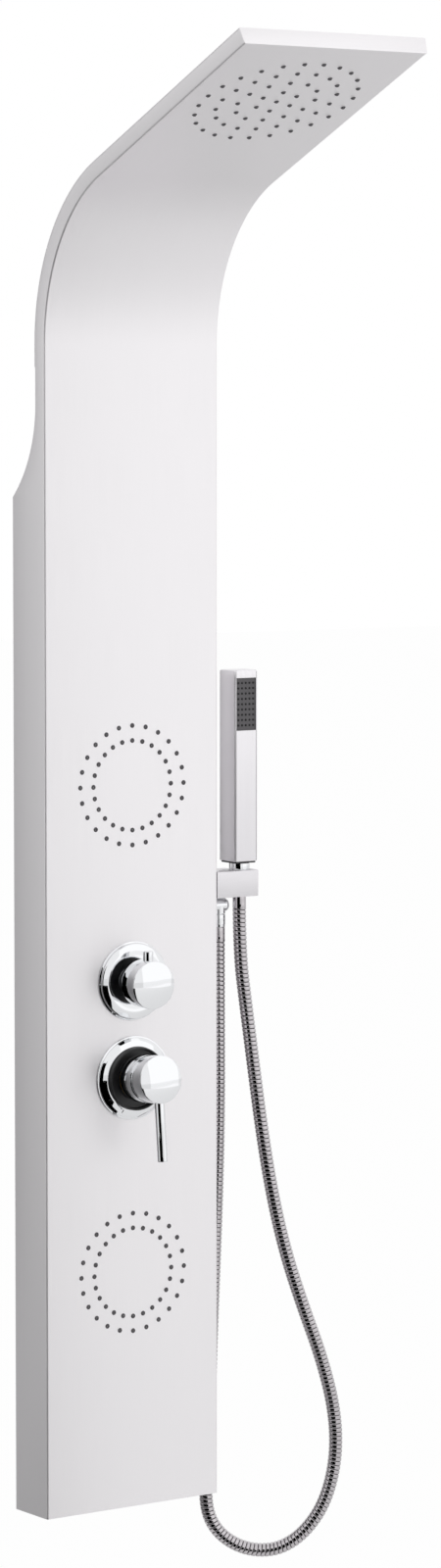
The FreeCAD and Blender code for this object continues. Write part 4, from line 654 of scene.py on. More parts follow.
@dataclass(frozen=True)
class Card:
    """A flat card that metal reflects and the camera doesn't see."""

    name: str
    place: Triple   # of its middle, in metres
    size: Pair   # width and height, in metres
    lean: float   # degrees that it leans back from upright
    turn: float   # degrees that it then turns about the vertical
    glow: Pair   # how brightly it shines at its lower and upper edge

    def build(self) -> None:
        """Stand the card up with its own light, which only reflections see."""
        across, up = self.size[0] / 2, self.size[1] / 2
        paint = bpy.data.materials.new(self.name)
        tree = emptied(paint)
        middle = add_node(tree, "ShaderNodeTexCoord")
        parts = add_node(tree, "ShaderNodeSeparateXYZ", None, {0: middle.outputs["Object"]})
        level = add_node(tree, "ShaderNodeMapRange",
                         {"From Min": -up, "From Max": up, "To Min": self.glow[0],
                          "To Max": self.glow[1]}, {"Value": parts.outputs["Z"]})
        light = add_node(tree, "ShaderNodeEmission", {"Color": WHITE},
                         {"Strength": level.outputs["Result"]})
        add_node(tree, "ShaderNodeOutputMaterial", None, {"Surface": light.outputs[0]})
        corners = [(-across, 0.0, -up), (across, 0.0, -up), (across, 0.0, up), (-across, 0.0, up)]
        made = stage_sheet(self.name, corners, paint, self.place,
                           (math.radians(self.lean), 0.0, math.radians(self.turn)))
        made.visible_camera = made.visible_shadow = made.visible_diffuse = False


@dataclass(frozen=True)
class Lamp:
    """A soft area lamp that shines at a point."""

    name: str
    place: Triple   # of its middle, in metres
    target: Triple   # the point that it faces
    size: Pair   # width and height, in metres
    glow: float   # how much brighter than the white surround its face looks

    def build(self) -> None:
        """Hang the lamp."""
        data = bpy.data.lights.new(self.name, "AREA")
        data.shape = "RECTANGLE"
        data.size, data.size_y = self.size
        data.energy = self.glow * math.pi * self.size[0] * self.size[1]
        aim = Vector(self.target) - Vector(self.place)
        put(self.name, data, self.place, aim.to_track_quat("-Z", "Y").to_euler())


@dataclass(frozen=True)
class Studio:
    """A pale floor, soft lamps, and cards beside the camera that metal reflects.

    The dark cards stand for the dim part of the room and its floor, which the chrome shows as
    black shapes. The grey ones behind the left side give it its fall of tone.
    """

    floor_height: float = -1.30   # metres
    floor_span: float = 40.0
    floor_colour: str = "#FAFAFA"
    floor_glow: float = 0.93   # of what the camera sees of the floor; the rest takes the shadow
    ambient: float = 0.88   # the surround's strength for all but eyes and mirrors
    cards: tuple[Card, ...] = (
        Card("dark_room_card", (-3.7, -3.65, 0.1), (5.8, 3.0), 0.0, -45.5, (0.0, 0.0)),
        Card("dark_floor_card", (-2.4, -2.6, -1.28), (4.8, 4.8), 90.0, 0.0, (0.0, 0.0)),
        Card("side_floor_card", (-1.35, 0.32, -1.28), (2.3, 1.1), 90.0, 0.0, (0.20, 0.18)),
        Card("rear_card", (-1.35, 0.9, -0.15), (2.3, 2.26), 0.0, 0.0, (0.34, 0.77)),
        Card("rear_shade_card", (-0.32, 0.88, -0.3), (0.5, 1.3), 0.0, 0.0, (0.04, 0.12)),
        Card("rear_floor_card", (1.7, 1.25, -1.28), (3.4, 2.5), 90.0, 0.0, (0.56, 0.66)),
        Card("front_floor_card", (3.1, -2.6, -1.28), (6.2, 5.2), 90.0, 0.0, (0.82, 1.0)))
    lamps: tuple[Lamp, ...] = (
        Lamp("front_softbox", (2.3, -3.4, 0.65), (0.0, -0.05, 0.1), (3.6, 3.7), 0.2),
        Lamp("top_softbox", (2.1, -2.6, 3.2), (0.0, -0.3, 0.4), (2.6, 2.0), 0.16))

    def build(self) -> None:
        """Make the world, the floor, the cards and the lamps."""
        self.world()
        self.floor()
        for thing in (*self.cards, *self.lamps):
            thing.build()

    def world(self) -> None:
        """A white surround for the eye and for metal, and a softer one for everything else."""
        world = bpy.data.worlds.new("studio_white")
        bpy.context.scene.world = world
        tree = emptied(world)
        ray = add_node(tree, "ShaderNodeLightPath")
        seen = add_node(tree, "ShaderNodeMath", {"operation": "MAXIMUM"},
                        {0: ray.outputs["Is Camera Ray"], 1: ray.outputs["Is Glossy Ray"]})
        clear = add_node(tree, "ShaderNodeMath", {"operation": "MAXIMUM"},
                         {0: seen.outputs[0], 1: ray.outputs["Is Transmission Ray"]})
        strength = add_node(tree, "ShaderNodeMapRange", {"To Min": self.ambient, "To Max": 1.0},
                            {"Value": clear.outputs[0]})
        glow = add_node(tree, "ShaderNodeBackground", {"Color": WHITE},
                        {"Strength": strength.outputs["Result"]})
        add_node(tree, "ShaderNodeOutputWorld", None, {"Surface": glow.outputs["Background"]})

    def floor(self) -> None:
        """A plain white floor that is bright to the eye and still takes the object's shadow."""
        paint = bpy.data.materials.new("white_paper_floor")
        tree = emptied(paint)
        paper = add_node(tree, "ShaderNodeBsdfDiffuse", {"Color": linear(self.floor_colour)})
        glow = add_node(tree, "ShaderNodeEmission", {"Color": WHITE})
        ray = add_node(tree, "ShaderNodeLightPath")
        share = add_node(tree, "ShaderNodeMapRange", {"To Min": 0.0, "To Max": self.floor_glow},
                         {"Value": ray.outputs["Is Camera Ray"]})
        mixed = add_node(tree, "ShaderNodeMixShader", None,
                         {0: share.outputs["Result"], 1: paper.outputs[0], 2: glow.outputs[0]})
        add_node(tree, "ShaderNodeOutputMaterial", None, {"Surface": mixed.outputs[0]})
        half, level = self.floor_span / 2, self.floor_height
        stage_sheet("studio_floor", [(-half, -half, level), (half, -half, level),
                                     (half, half, level), (-half, half, level)], paint)


# ---- shower hose ----

@dataclass
class ShowerHose:
    """The free hose: wound chrome strip from the elbow's nut round to the handset."""

    diameter: float = 14.0
    rib_pitch: float = 4.4
    groove: float = 0.9   # depth of the dark groove between turns of the strip
    shaded_liner_share: float = 0.6   # of the groove's depth, below which the groove is dark rubber: partly the rubber liner, partly painted shade in the groove
    rib: tuple[Pair, ...] = (   # share of the pitch, and share of the groove's depth
        (0.0, 1.0), (0.08, 1.0), (0.11, 0.45), (0.17, 0.12), (0.23, 0.01), (0.27, 0.0),
        (0.77, 0.0), (0.81, 0.01), (0.87, 0.12), (0.93, 0.45), (0.96, 1.0))
    sleeve_length: float = 15.0
    sleeve_cover: float = 0.6   # share of a sleeve that the strip leaves free
    sleeve: Corners = ((0.0, 4.5), (0.0, 7.0, 0.8), (15.0, 7.0, 0.8), (15.0, 4.5))
    sides: int = 28
    line_steps: int = 24   # of the centreline between two of the route's points
    sharp: float = 50.0   # edges sharper than this many degrees stay crisp
    slack_start: float = 0.52   # share of the length from which the hose was meant to follow the handset
    route: tuple[Triple, ...] = (
        (117.8, -26.0, 580.1),
        (118.0, -26.0, 500.0), (118.8, -25.4, 392.0), (117.6, -22.0, 284.0),
        (116.2, -16.8, 184.0), (115.8, -12.2, 98.0), (115.9, -9.4, 34.0), (112.7, -8.4, -8.0),
        (114.4, -10.4, -34.0), (124.0, -16.2, -53.5), (141.0, -25.0, -67.5),
        (162.0, -35.2, -73.8), (184.0, -46.0, -71.0), (206.0, -57.0, -54.0),
        (225.5, -65.0, -23.0), (235.6, -69.0, 23.0), (233.0, -69.5, 73.0), (218.6, -66.5, 129.0),
        (198.2, -62.5, 184.0), (180.0, -58.0, 240.0), (166.6, -53.5, 300.0),
        (157.4, -48.5, 364.0), (150.4, -43.5, 430.0), (143.8, -39.0, 494.0),
        (136.6, -36.5, 555.0), (136.6, -36.5, 614.2))

    def line(self) -> list[Vector]:
        """Draw the hose's centreline as a smooth curve along the route.

        Returns:
            The curve's points in metres, close together.
        """
        curve = bpy.data.curves.new("hose_route", "CURVE")
        curve.dimensions = "3D"
        curve.resolution_u = self.line_steps
        spline = curve.splines.new("NURBS")
        spline.points.add(len(self.route) - 1)
        for point, place in zip(spline.points, self.route):
            point.co = (*spot(*place), 1.0)
        spline.order_u = 3
        spline.use_endpoint_u = True
        holder = put("hose_route", curve)
        bpy.context.view_layer.update()
        mesh = bpy.data.meshes.new_from_object(holder)
        points = [vertex.co.copy() for vertex in mesh.vertices]
        bpy.data.objects.remove(holder)
        bpy.data.curves.remove(curve)
        bpy.data.meshes.remove(mesh)
        return points

    def build(self) -> None:
        line = self.line()
        marks = [0.0]
        for near, far in zip(line, line[1:]):
            marks.append(marks[-1] + (far - near).length)
        length = marks[-1]
        shape = Shape()
        places = self.winding(shape, length)
        for start in (0.0, length - self.sleeve_length * MM):
            places += self.end_sleeve(shape, start)
        bent = self.bent(line, marks, places)
        shape.points = [Vector((radius * math.cos(angle), radius * math.sin(angle), distance))
                        for distance, angle, radius in places]
        hose = shape.loose("shower_hose_chrome", HOSE_STRIP, self.sharp)
        # Faces deep in the groove take the dark rubber: partly the liner between the turns, partly
        # painted shade in the groove.
        hose.data.materials.append(DARK_RUBBER.material())
        deep = (self.diameter / 2 - self.shaded_liner_share * self.groove) * MM
        for face in hose.data.polygons:
            face.material_index = int(all(places[index][2] < deep for index in face.vertices))
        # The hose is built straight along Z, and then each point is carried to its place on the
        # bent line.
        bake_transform(hose)
        hose.data.vertices.foreach_set("co", [value for point in bent for value in point])
        hose.data.update()
        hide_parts("shower_hose")
        LOG.info("hose length %.1f mm", length / MM)

    def winding(self, shape: Shape, length: float) -> list[Triple]:
        """Wind the chrome strip, one rib to each turn, with a dark groove between turns.

        Args:
            shape: takes the strip's faces.
            length: the hose's length in metres.

        Returns:
            Each point as its distance along the hose, its angle about it and its radius.
        """
        cover = self.sleeve_cover * self.sleeve_length * MM
        turns = int((length - 2 * cover) / (self.rib_pitch * MM)) - 1
        pitch = (length - 2 * cover) / (turns + 1)
        columns = turns * self.sides
        rows = len(self.rib)
        places = []
        for column in range(columns + 1):
            turned = column / self.sides
            places += [(cover + (turned + share) * pitch, -2 * math.pi * turned,
                        (self.diameter / 2 - drop * self.groove) * MM)
                       for share, drop in self.rib]
        faces = []
        for near in range(columns * rows):
            column, row = divmod(near, rows)
            far = near + 1 if row < rows - 1 else (column + self.sides) * rows
            if far < columns * rows:
                faces.append((near, near + rows, far + rows, far))
        shape.add([Vector()] * len(places), faces)
        return places

    def end_sleeve(self, shape: Shape, start: float) -> list[Triple]:
        """Put a smooth sleeve over one end of the strip.

        Args:
            shape: takes the sleeve's faces.
            start: its distance along the hose, in metres.

        Returns:
            Its points, as winding() gives them.
        """
        outline = rounded(self.sleeve)
        shape.lofted([[Vector()] * self.sides] * len(outline))
        return [(start + along * MM, 2 * math.pi * step / self.sides, reach * MM)
                for along, reach in outline for step in range(self.sides)]

    def bent(self, line: list[Vector], marks: list[float],
             places: list[Triple]) -> list[Vector]:
        """Carry the straight hose's points to the curved line, without a twist.

        Args:
            line: the centreline.
            marks: the length along it at each of its points.
            places: the points, as winding() gives them.

        Returns:
            Each point's place in metres.
        """
        result = [Vector()] * len(places)
        side = Vector((0.0, 1.0, 0.0))
        step = 0
        for index in sorted(range(len(places)), key=lambda index: places[index][0]):
            distance, angle, radius = places[index]
            while step < len(marks) - 2 and marks[step + 1] < distance:
                step += 1
            share = (distance - marks[step]) / (marks[step + 1] - marks[step])
            share = min(max(share, 0.0), 1.0)
            near = (line[step + 1] - line[max(step - 1, 0)]).normalized()
            far = (line[min(step + 2, len(line) - 1)] - line[step]).normalized()
            ahead = near.lerp(far, share).normalized()
            side = (side - ahead * side.dot(ahead)).normalized()
            spoke = side * math.cos(angle) + ahead.cross(side) * math.sin(angle)
            result[index] = line[step].lerp(line[step + 1], share) + spoke * radius
        return result


# ---- folded column ----

@dataclass
class Column:
    """The folded sheet that climbs the wall, bends forward and runs out as the shower head."""

    width: float = 200.0
    depth: float = 53.0
    flare: float = 0.12   # how far each side leans out for its depth
    gauge: float = 1.5
    fold_radius: float = 2.2
    back_edge: float = 0.3   # rounding of the sheet's cut edges
    inner_fold: float = 0.7
    bend_height: float = 1173.0
    bend_radius: float = 170.0
    arm_rise: float = 22.0
    arm_length: float = 283.0
    flange: float = 15.0   # depth of the sides above the notch
    notch_radius: float = 130.0
    notch_height: float = 1113.5
    bottom_lift: float = 0.02
    bottom_inset: float = 0.9
    bottom_edge: float = 0.5
    cover_gauge: float = 1.2
    cover_start: float = 1150.0
    cover_edge: float = 0.5
    cap_rounding: float = 1.2
    cap_ease: tuple[Pair, ...] = ((0.0, 0.0), (1.0, 0.0), (1.35, 0.15), (1.5, 0.5))   # out, in
    climb_steps: int = 8
    notch_steps: int = 28
    bend_steps: int = 56
    arm_steps: int = 6

    @property
    def turn(self) -> float:
        """How far the sheet turns in its bend, in radians."""
        return math.radians(90 - self.arm_rise)

    @property
    def bend_length(self) -> float:
        """Length of the bend along the outer face."""
        return self.bend_radius * self.turn

    @property
    def notch_foot(self) -> float:
        """Where the sides start to narrow, along the face."""
        return self.notch_height - math.sqrt(
            self.notch_radius ** 2 - (self.notch_radius - self.depth + self.flange) ** 2)

    def half_at(self, depth: float) -> float:
        """Half of the outer width at a depth behind the face."""
        return self.width / 2 + self.flare * depth

    def at(self, run: float, x: float, depth: float) -> Vector:
        """A point on the sheet's path.

        Args:
            run: distance along the face from the column's bottom, in millimetres.
            x: distance to the right of the middle.
            depth: distance behind the face.

        Returns:
            The place in metres.
        """
        climb = self.bend_height
        if run <= climb:
            return spot(x, FRONT_Y + depth, run)
        angle = min((run - climb) / self.bend_radius, self.turn)
        past = max(run - climb - self.bend_length, 0.0)
        reach = self.bend_radius + depth
        y = FRONT_Y - self.bend_radius + reach * math.cos(angle) - past * math.sin(angle)
        return spot(x, y, climb + reach * math.sin(angle) + past * math.cos(angle))

    def side_depth(self, run: float) -> float:
        """How far the side reaches back at a distance along the face."""
        if run <= self.notch_foot:
            return self.depth
        drop = max(self.notch_height - run, 0.0)
        return self.flange + self.notch_radius - math.sqrt(self.notch_radius ** 2 - drop ** 2)

    def runs(self) -> list[float]:
        """Distances along the face at which the sheet's section is drawn."""
        foot, end = self.notch_foot, self.bend_height + self.bend_length
        stretches = ((0.0, foot, self.climb_steps), (foot, self.notch_height, self.notch_steps),
                     (self.notch_height, self.notch_height, 1),
                     (self.bend_height, end, self.bend_steps),
                     (end, end + self.arm_length, self.arm_steps))
        return [low + (high - low) * step / count for low, high, count in stretches
                for step in range(count)] + [end + self.arm_length]

    def section(self, back: float) -> list[Pair]:
        """Outline of the folded sheet as (x, depth) pairs, where its sides reach so far back."""
        lean = math.sqrt(1 + self.flare ** 2) * self.gauge
        return rounded(mirrored([
            (self.width / 2, 0.0, self.fold_radius), (self.half_at(back), back, self.back_edge),
            (self.half_at(back) - lean, back, self.back_edge),
            (self.half_at(self.gauge) - lean, self.gauge, self.inner_fold)]), steps=4)

    def swept(self, shape: Shape, sections: Iterable[tuple[float, list[Pair]]],
              grain: Callable[[float, float, float], Pair]) -> Shape:
        """Loft outlines along the sheet's path.

        Args:
            shape: takes the points and faces.
            sections: the distance along the face and the (x, depth) outline of each.
            grain: gives a point's place across and along the grain from its x, depth and run.

        Returns:
            The shape.
        """
        rings = []
        for run, outline in sections:
            rings.append([self.at(run, x, depth) for x, depth in outline])
            for x, depth in outline:
                across, along = grain(x, depth, run)
                shape.uvs.append((across * MM, along * MM))
        return shape.lofted(rings)

    def build(self) -> None:
        """Make the sheet with its bottom plate, the back cover and the end cap."""
        runs = self.runs()
        sheet = self.swept(Shape(), [(run, self.section(self.side_depth(run))) for run in runs],
                           lambda x, depth, run: (x + depth, run))
        low = self.bottom_inset
        bottom = rounded(mirrored([(self.half_at(low) - low, low, self.bottom_edge),
                                   (self.half_at(self.depth) - low, self.depth,
                                    self.bottom_edge)]), steps=2)
        self.swept(sheet, [(run, bottom) for run in (self.bottom_lift, self.gauge)],
                   lambda x, depth, run: (x, depth))
        sheet.piece("column_folded_sheet", SHEET, "root", "column_shell")

        back = self.flange + self.cover_gauge
        cover = rounded(mirrored([(self.half_at(self.flange), self.flange, self.back_edge),
                                  (self.half_at(back), back, self.cover_edge)]), steps=3)
        covered = [self.cover_start, *(run for run in runs if run > self.cover_start)]
        self.swept(Shape(), [(run, cover) for run in covered],
                   lambda x, depth, run: (x + depth, run)
                   ).piece("arm_back_cover_sheet", SHEET, "root", "arm_back_cover")

        corners = mirrored([(self.width / 2, 0.0, self.cap_rounding),
                            (self.half_at(back), back, self.cap_rounding)])
        plates = [(runs[-1] + out, rounded(
            [(x - math.copysign(inset, x), depth + (-inset if depth else inset), radius)
             for x, depth, radius in corners], steps=3)) for out, inset in self.cap_ease]
        self.swept(Shape(), plates, lambda x, depth, run: (depth, x)
                   ).piece("arm_end_plate", SHEET, "root", "arm_end_cap")

    def head_frame(self, along: float) -> Matrix:
        """Frame on the arm's underside: local Z points out of it and local Y along the arm."""
        place = self.at(self.bend_height + self.bend_length + along, 0.0, 0.0)
        return Matrix.Translation(place) @ Matrix.Rotation(math.pi / 2 + self.turn, 4, "X")


# ---- nozzles ----

@dataclass
class Nozzles:
    """Soft nozzles that stand through the sheet on the mat that carries them."""

    mat_back: float = 3.5   # from the sheet's face to the mat's back
    mat_gauge: float = 2.0
    steps: int = 18
    outline: tuple[Pair, ...] = (   # of one nozzle; radius and distance out of the face
        (0.0, -2.0), (2.2, -2.0), (2.2, 0.02), (2.5, 0.02), (2.4, 0.14), (2.2, 0.18),
        (1.85, 0.9), (1.55, 1.2), (0.8, 1.2), (0.6, 1.0), (0.6, -0.4), (0.0, -0.4))

    def mesh(self, where: Matrix, places: Sequence[Pair], outer: float,
             inner: float = 0.0) -> Shape:
        """Mat and nozzles in one shape.

        Args:
            where: the frame on the sheet's outer face.
            places: where each nozzle stands, in millimetres.
            outer: the mat's outer radius.
            inner: the radius of the hole in the mat, or 0.

        Returns:
            The shape.
        """
        low, high = -self.mat_back, self.mat_gauge - self.mat_back
        shape = Shape().turned([(inner, low), (outer, low), (outer, high), (inner, high)], where)
        for x, y in places:
            moved = where @ Matrix.Translation(Vector((x, y, 0.0)) * MM)
            shape.turned(self.outline, moved, self.steps)
        return shape


@dataclass
class Jets:
    """Two rings of body jets in the column and the rain head in the arm."""

    column: Column
    nozzles: Nozzles = field(default_factory=Nozzles)
    heights: tuple[tuple[str, float], ...] = (("upper_jet", 733.0), ("lower_jet", 240.0))
    outer_ring: float = 60.0
    inner_ring: float = 45.0
    count: int = 24
    margin: float = 8.0   # of the mat beyond its rings of nozzles
    head_along: float = 173.0   # of the head's middle, from the end of the bend
    head_step: float = 19.6
    head_rings: int = 4
    head_count: int = 6   # in the innermost ring, and as many more in each one after it
    head_turn: float = -10.9
    head_margin: float = 9.5

    def build(self) -> None:
        """Make the three nozzle mats."""
        places = [place for radius in (self.outer_ring, self.inner_ring)
                  for place in ring_places(radius, self.count)]
        for name, height in self.heights:
            shape = self.nozzles.mesh(facing(height), places, self.outer_ring + self.margin,
                                      self.inner_ring - self.margin)
            shape.piece(name + "_nozzles", SILICONE, "root", name + "_nozzle_mat")
        head = [(0.0, 0.0)]
        for ring in range(1, self.head_rings + 1):
            head += ring_places(ring * self.head_step, ring * self.head_count, self.head_turn)
        outer = self.head_step * self.head_rings + self.head_margin
        shape = self.nozzles.mesh(self.column.head_frame(self.head_along), head, outer)
        shape.piece("rain_head_nozzles", SILICONE, "root", "head_nozzle_mat")


# ---- the two valves ----

@dataclass
class DiverterTrim:
    """Cover plate and knob of the diverter, with the pin that shows its setting."""

    height: float = 536.0
    pin_out: float = 30.5
    plate: Turning = Turning(
        "diverter_cover_plate", CHROME, "root",
        ((15.9, 5.5), (36.25, 5.5, 0.5), (36.25, 0.05), (40.0, 0.05, 0.3), (40.0, 1.7, 0.5),
         (38.5, 2.3, 0.3), (38.3, 4.9, 2.0), (32.0, 7.0, 8.0), (15.9, 7.0, 0.4)),
        "diverter_escutcheon", steps=128)
    knob: Turning = Turning(
        "diverter_knob_cap", CHROME, "diverter_set",
        ((4.2, 11.0), (11.0, 11.0, 0.4), (11.0, 19.0, 0.6), (24.0, 19.0, 0.5), (24.0, 41.5, 0.7),
         *crown(24.0, 41.5, 45.0), (0.0, 42.0), (4.2, 42.0)), "diverter_knob",
        steps=128, sharp=28.0)
    # Black disc on the knob's back: painted shade, standing for the dark of the knob's hollow
    # rear, so that its reflection in the plate shows dark.
    shade_disc: Turning = Turning(
        "diverter_knob_liner", BLACK_NYLON, "diverter_set",
        ((11.1, 18.75), (22.8, 18.75, 0.2), (22.8, 19.2), (11.1, 19.2)))
    collar: Turning = Turning(
        "diverter_neck_collar", CHROME, "root",
        ((11.3, 10.05), (15.2, 10.05), (15.2, 6.9), (15.8, 6.9), (15.8, 10.4, 0.4),
         (11.3, 10.4)))
    pin: Turning = Turning(
        "diverter_pointer", CHROME, "diverter_set",
        ((0.0, 20.5), (5.0, 20.5), (5.0, 33.2, 0.7), (0.0, 33.2)), "diverter_knob_pin", steps=48)

    def build(self) -> None:
        """Make the plate, the knob with its dark back disc and collar, and the upright pin."""
        here = facing(self.height)
        for part in (self.plate, self.knob, self.shade_disc, self.collar):
            part.build(here)
        self.pin.build(tipped(here, self.pin_out, -90))


@dataclass
class MixerTrim:
    """Cover plate, collar, cap and pin of the single-lever mixer."""

    height: float = 438.0
    pivot_out: float = 5.0
    tilt: float = 6.0   # degrees that the closed lever points down
    pin_along: float = 45.0
    tick_angles: Pair = (33.0, 65.0)   # degrees below level, on the left
    tick_ends: Pair = (33.9, 37.3)   # radii
    tick_width: float = 0.9
    tick_depth: float = 0.3
    tick_stand: float = 0.06
    slope_start: Pair = (33.6, 6.5)   # radius and height where the plate's slope starts
    slope: float = 1.6 / 4.1   # the plate's fall from there to its rim
    plate: Turning = Turning(
        "mixer_cover_plate", CHROME, "root",
        ((39.3, 2.0), (39.3, 0.05), (42.3, 0.05, 0.3), (42.3, 1.9, 0.6), (40.7, 2.1, 0.3),
         (40.4, 3.0, 0.4), (37.7, 4.9, 3.0), (33.6, 6.5, 2.0), (32.0, 6.8, 0.3), (32.0, 4.9)),
        "mixer_escutcheon", steps=128)
    # Black ring in the recess between plate and cap: partly a black collar, partly painted shade
    # of the recess.
    dark_collar: Turning = Turning(
        "mixer_collar_seal", BLACK_NYLON, "root",
        ((20.2, 5.05), (20.2, 8.2, 0.3), (21.2, 8.2, 0.3), (21.4, 5.6, 0.4), (30.0, 5.6, 0.6),
         (30.2, 12.0, 0.4), (31.9, 12.0, 0.6), (31.9, 5.05)), steps=128)
    cap: Turning = Turning(
        "mixer_lever_cap", CHROME, "mixer_lever",
        ((21.0, 15.0), (21.0, 9.0, 0.3), (22.4, 9.0, 0.3), (24.0, 11.4, 0.3), (24.0, 30.0, 0.3),
         (22.8, 30.1), (22.8, 31.1), (24.0, 31.2, 0.3), (24.0, 50.5, 0.7),
         *crown(24.0, 50.5, 54.0), (0.0, 50.0), (21.0, 47.0)), "mixer_handle",
        steps=128, sharp=28.0)
    pin: Turning = Turning(
        "mixer_lever_rod", CHROME, "mixer_lever",
        ((0.0, 21.0), (5.0, 21.0), (5.0, 82.0, 0.7), (0.0, 82.0)), "mixer_lever_pin", steps=48)

    def build(self) -> None:
        """Make the plate with its dark collar and ticks, then the tilting cap and pin."""
        here = facing(self.height)
        self.plate.build(here)
        self.dark_collar.build(here)
        self.ticks(here)
        lever = tipped(here, self.pivot_out, -self.tilt)
        self.cap.build(lever)
        self.pin.build(tipped(lever, self.pin_along, 90))

    def ticks(self, here: Matrix) -> None:
        """Two small dark ticks let into the plate's slope, below its left side."""
        shape = Shape()
        inner, outer = self.tick_ends
        for angle in self.tick_angles:
            turn = math.radians(180 + angle)
            along = Vector((math.cos(turn), math.sin(turn), 0.0))
            across = Vector((-along.y, along.x, 0.0)) * self.tick_width / 2
            corners = [along * radius + across * side + Vector(
                (0.0, 0.0, self.slope_start[1] - (radius - self.slope_start[0]) * self.slope))
                for radius, side in ((inner, -1), (outer, -1), (outer, 1), (inner, 1))]
            shape.lofted([[here @ ((corner + Vector((0.0, 0.0, rise))) * MM) for corner in corners]
                          for rise in (-self.tick_depth, self.tick_stand)])
        shape.piece("mixer_temperature_ticks", BLACK_NYLON, "root")


# ---- handset side ----

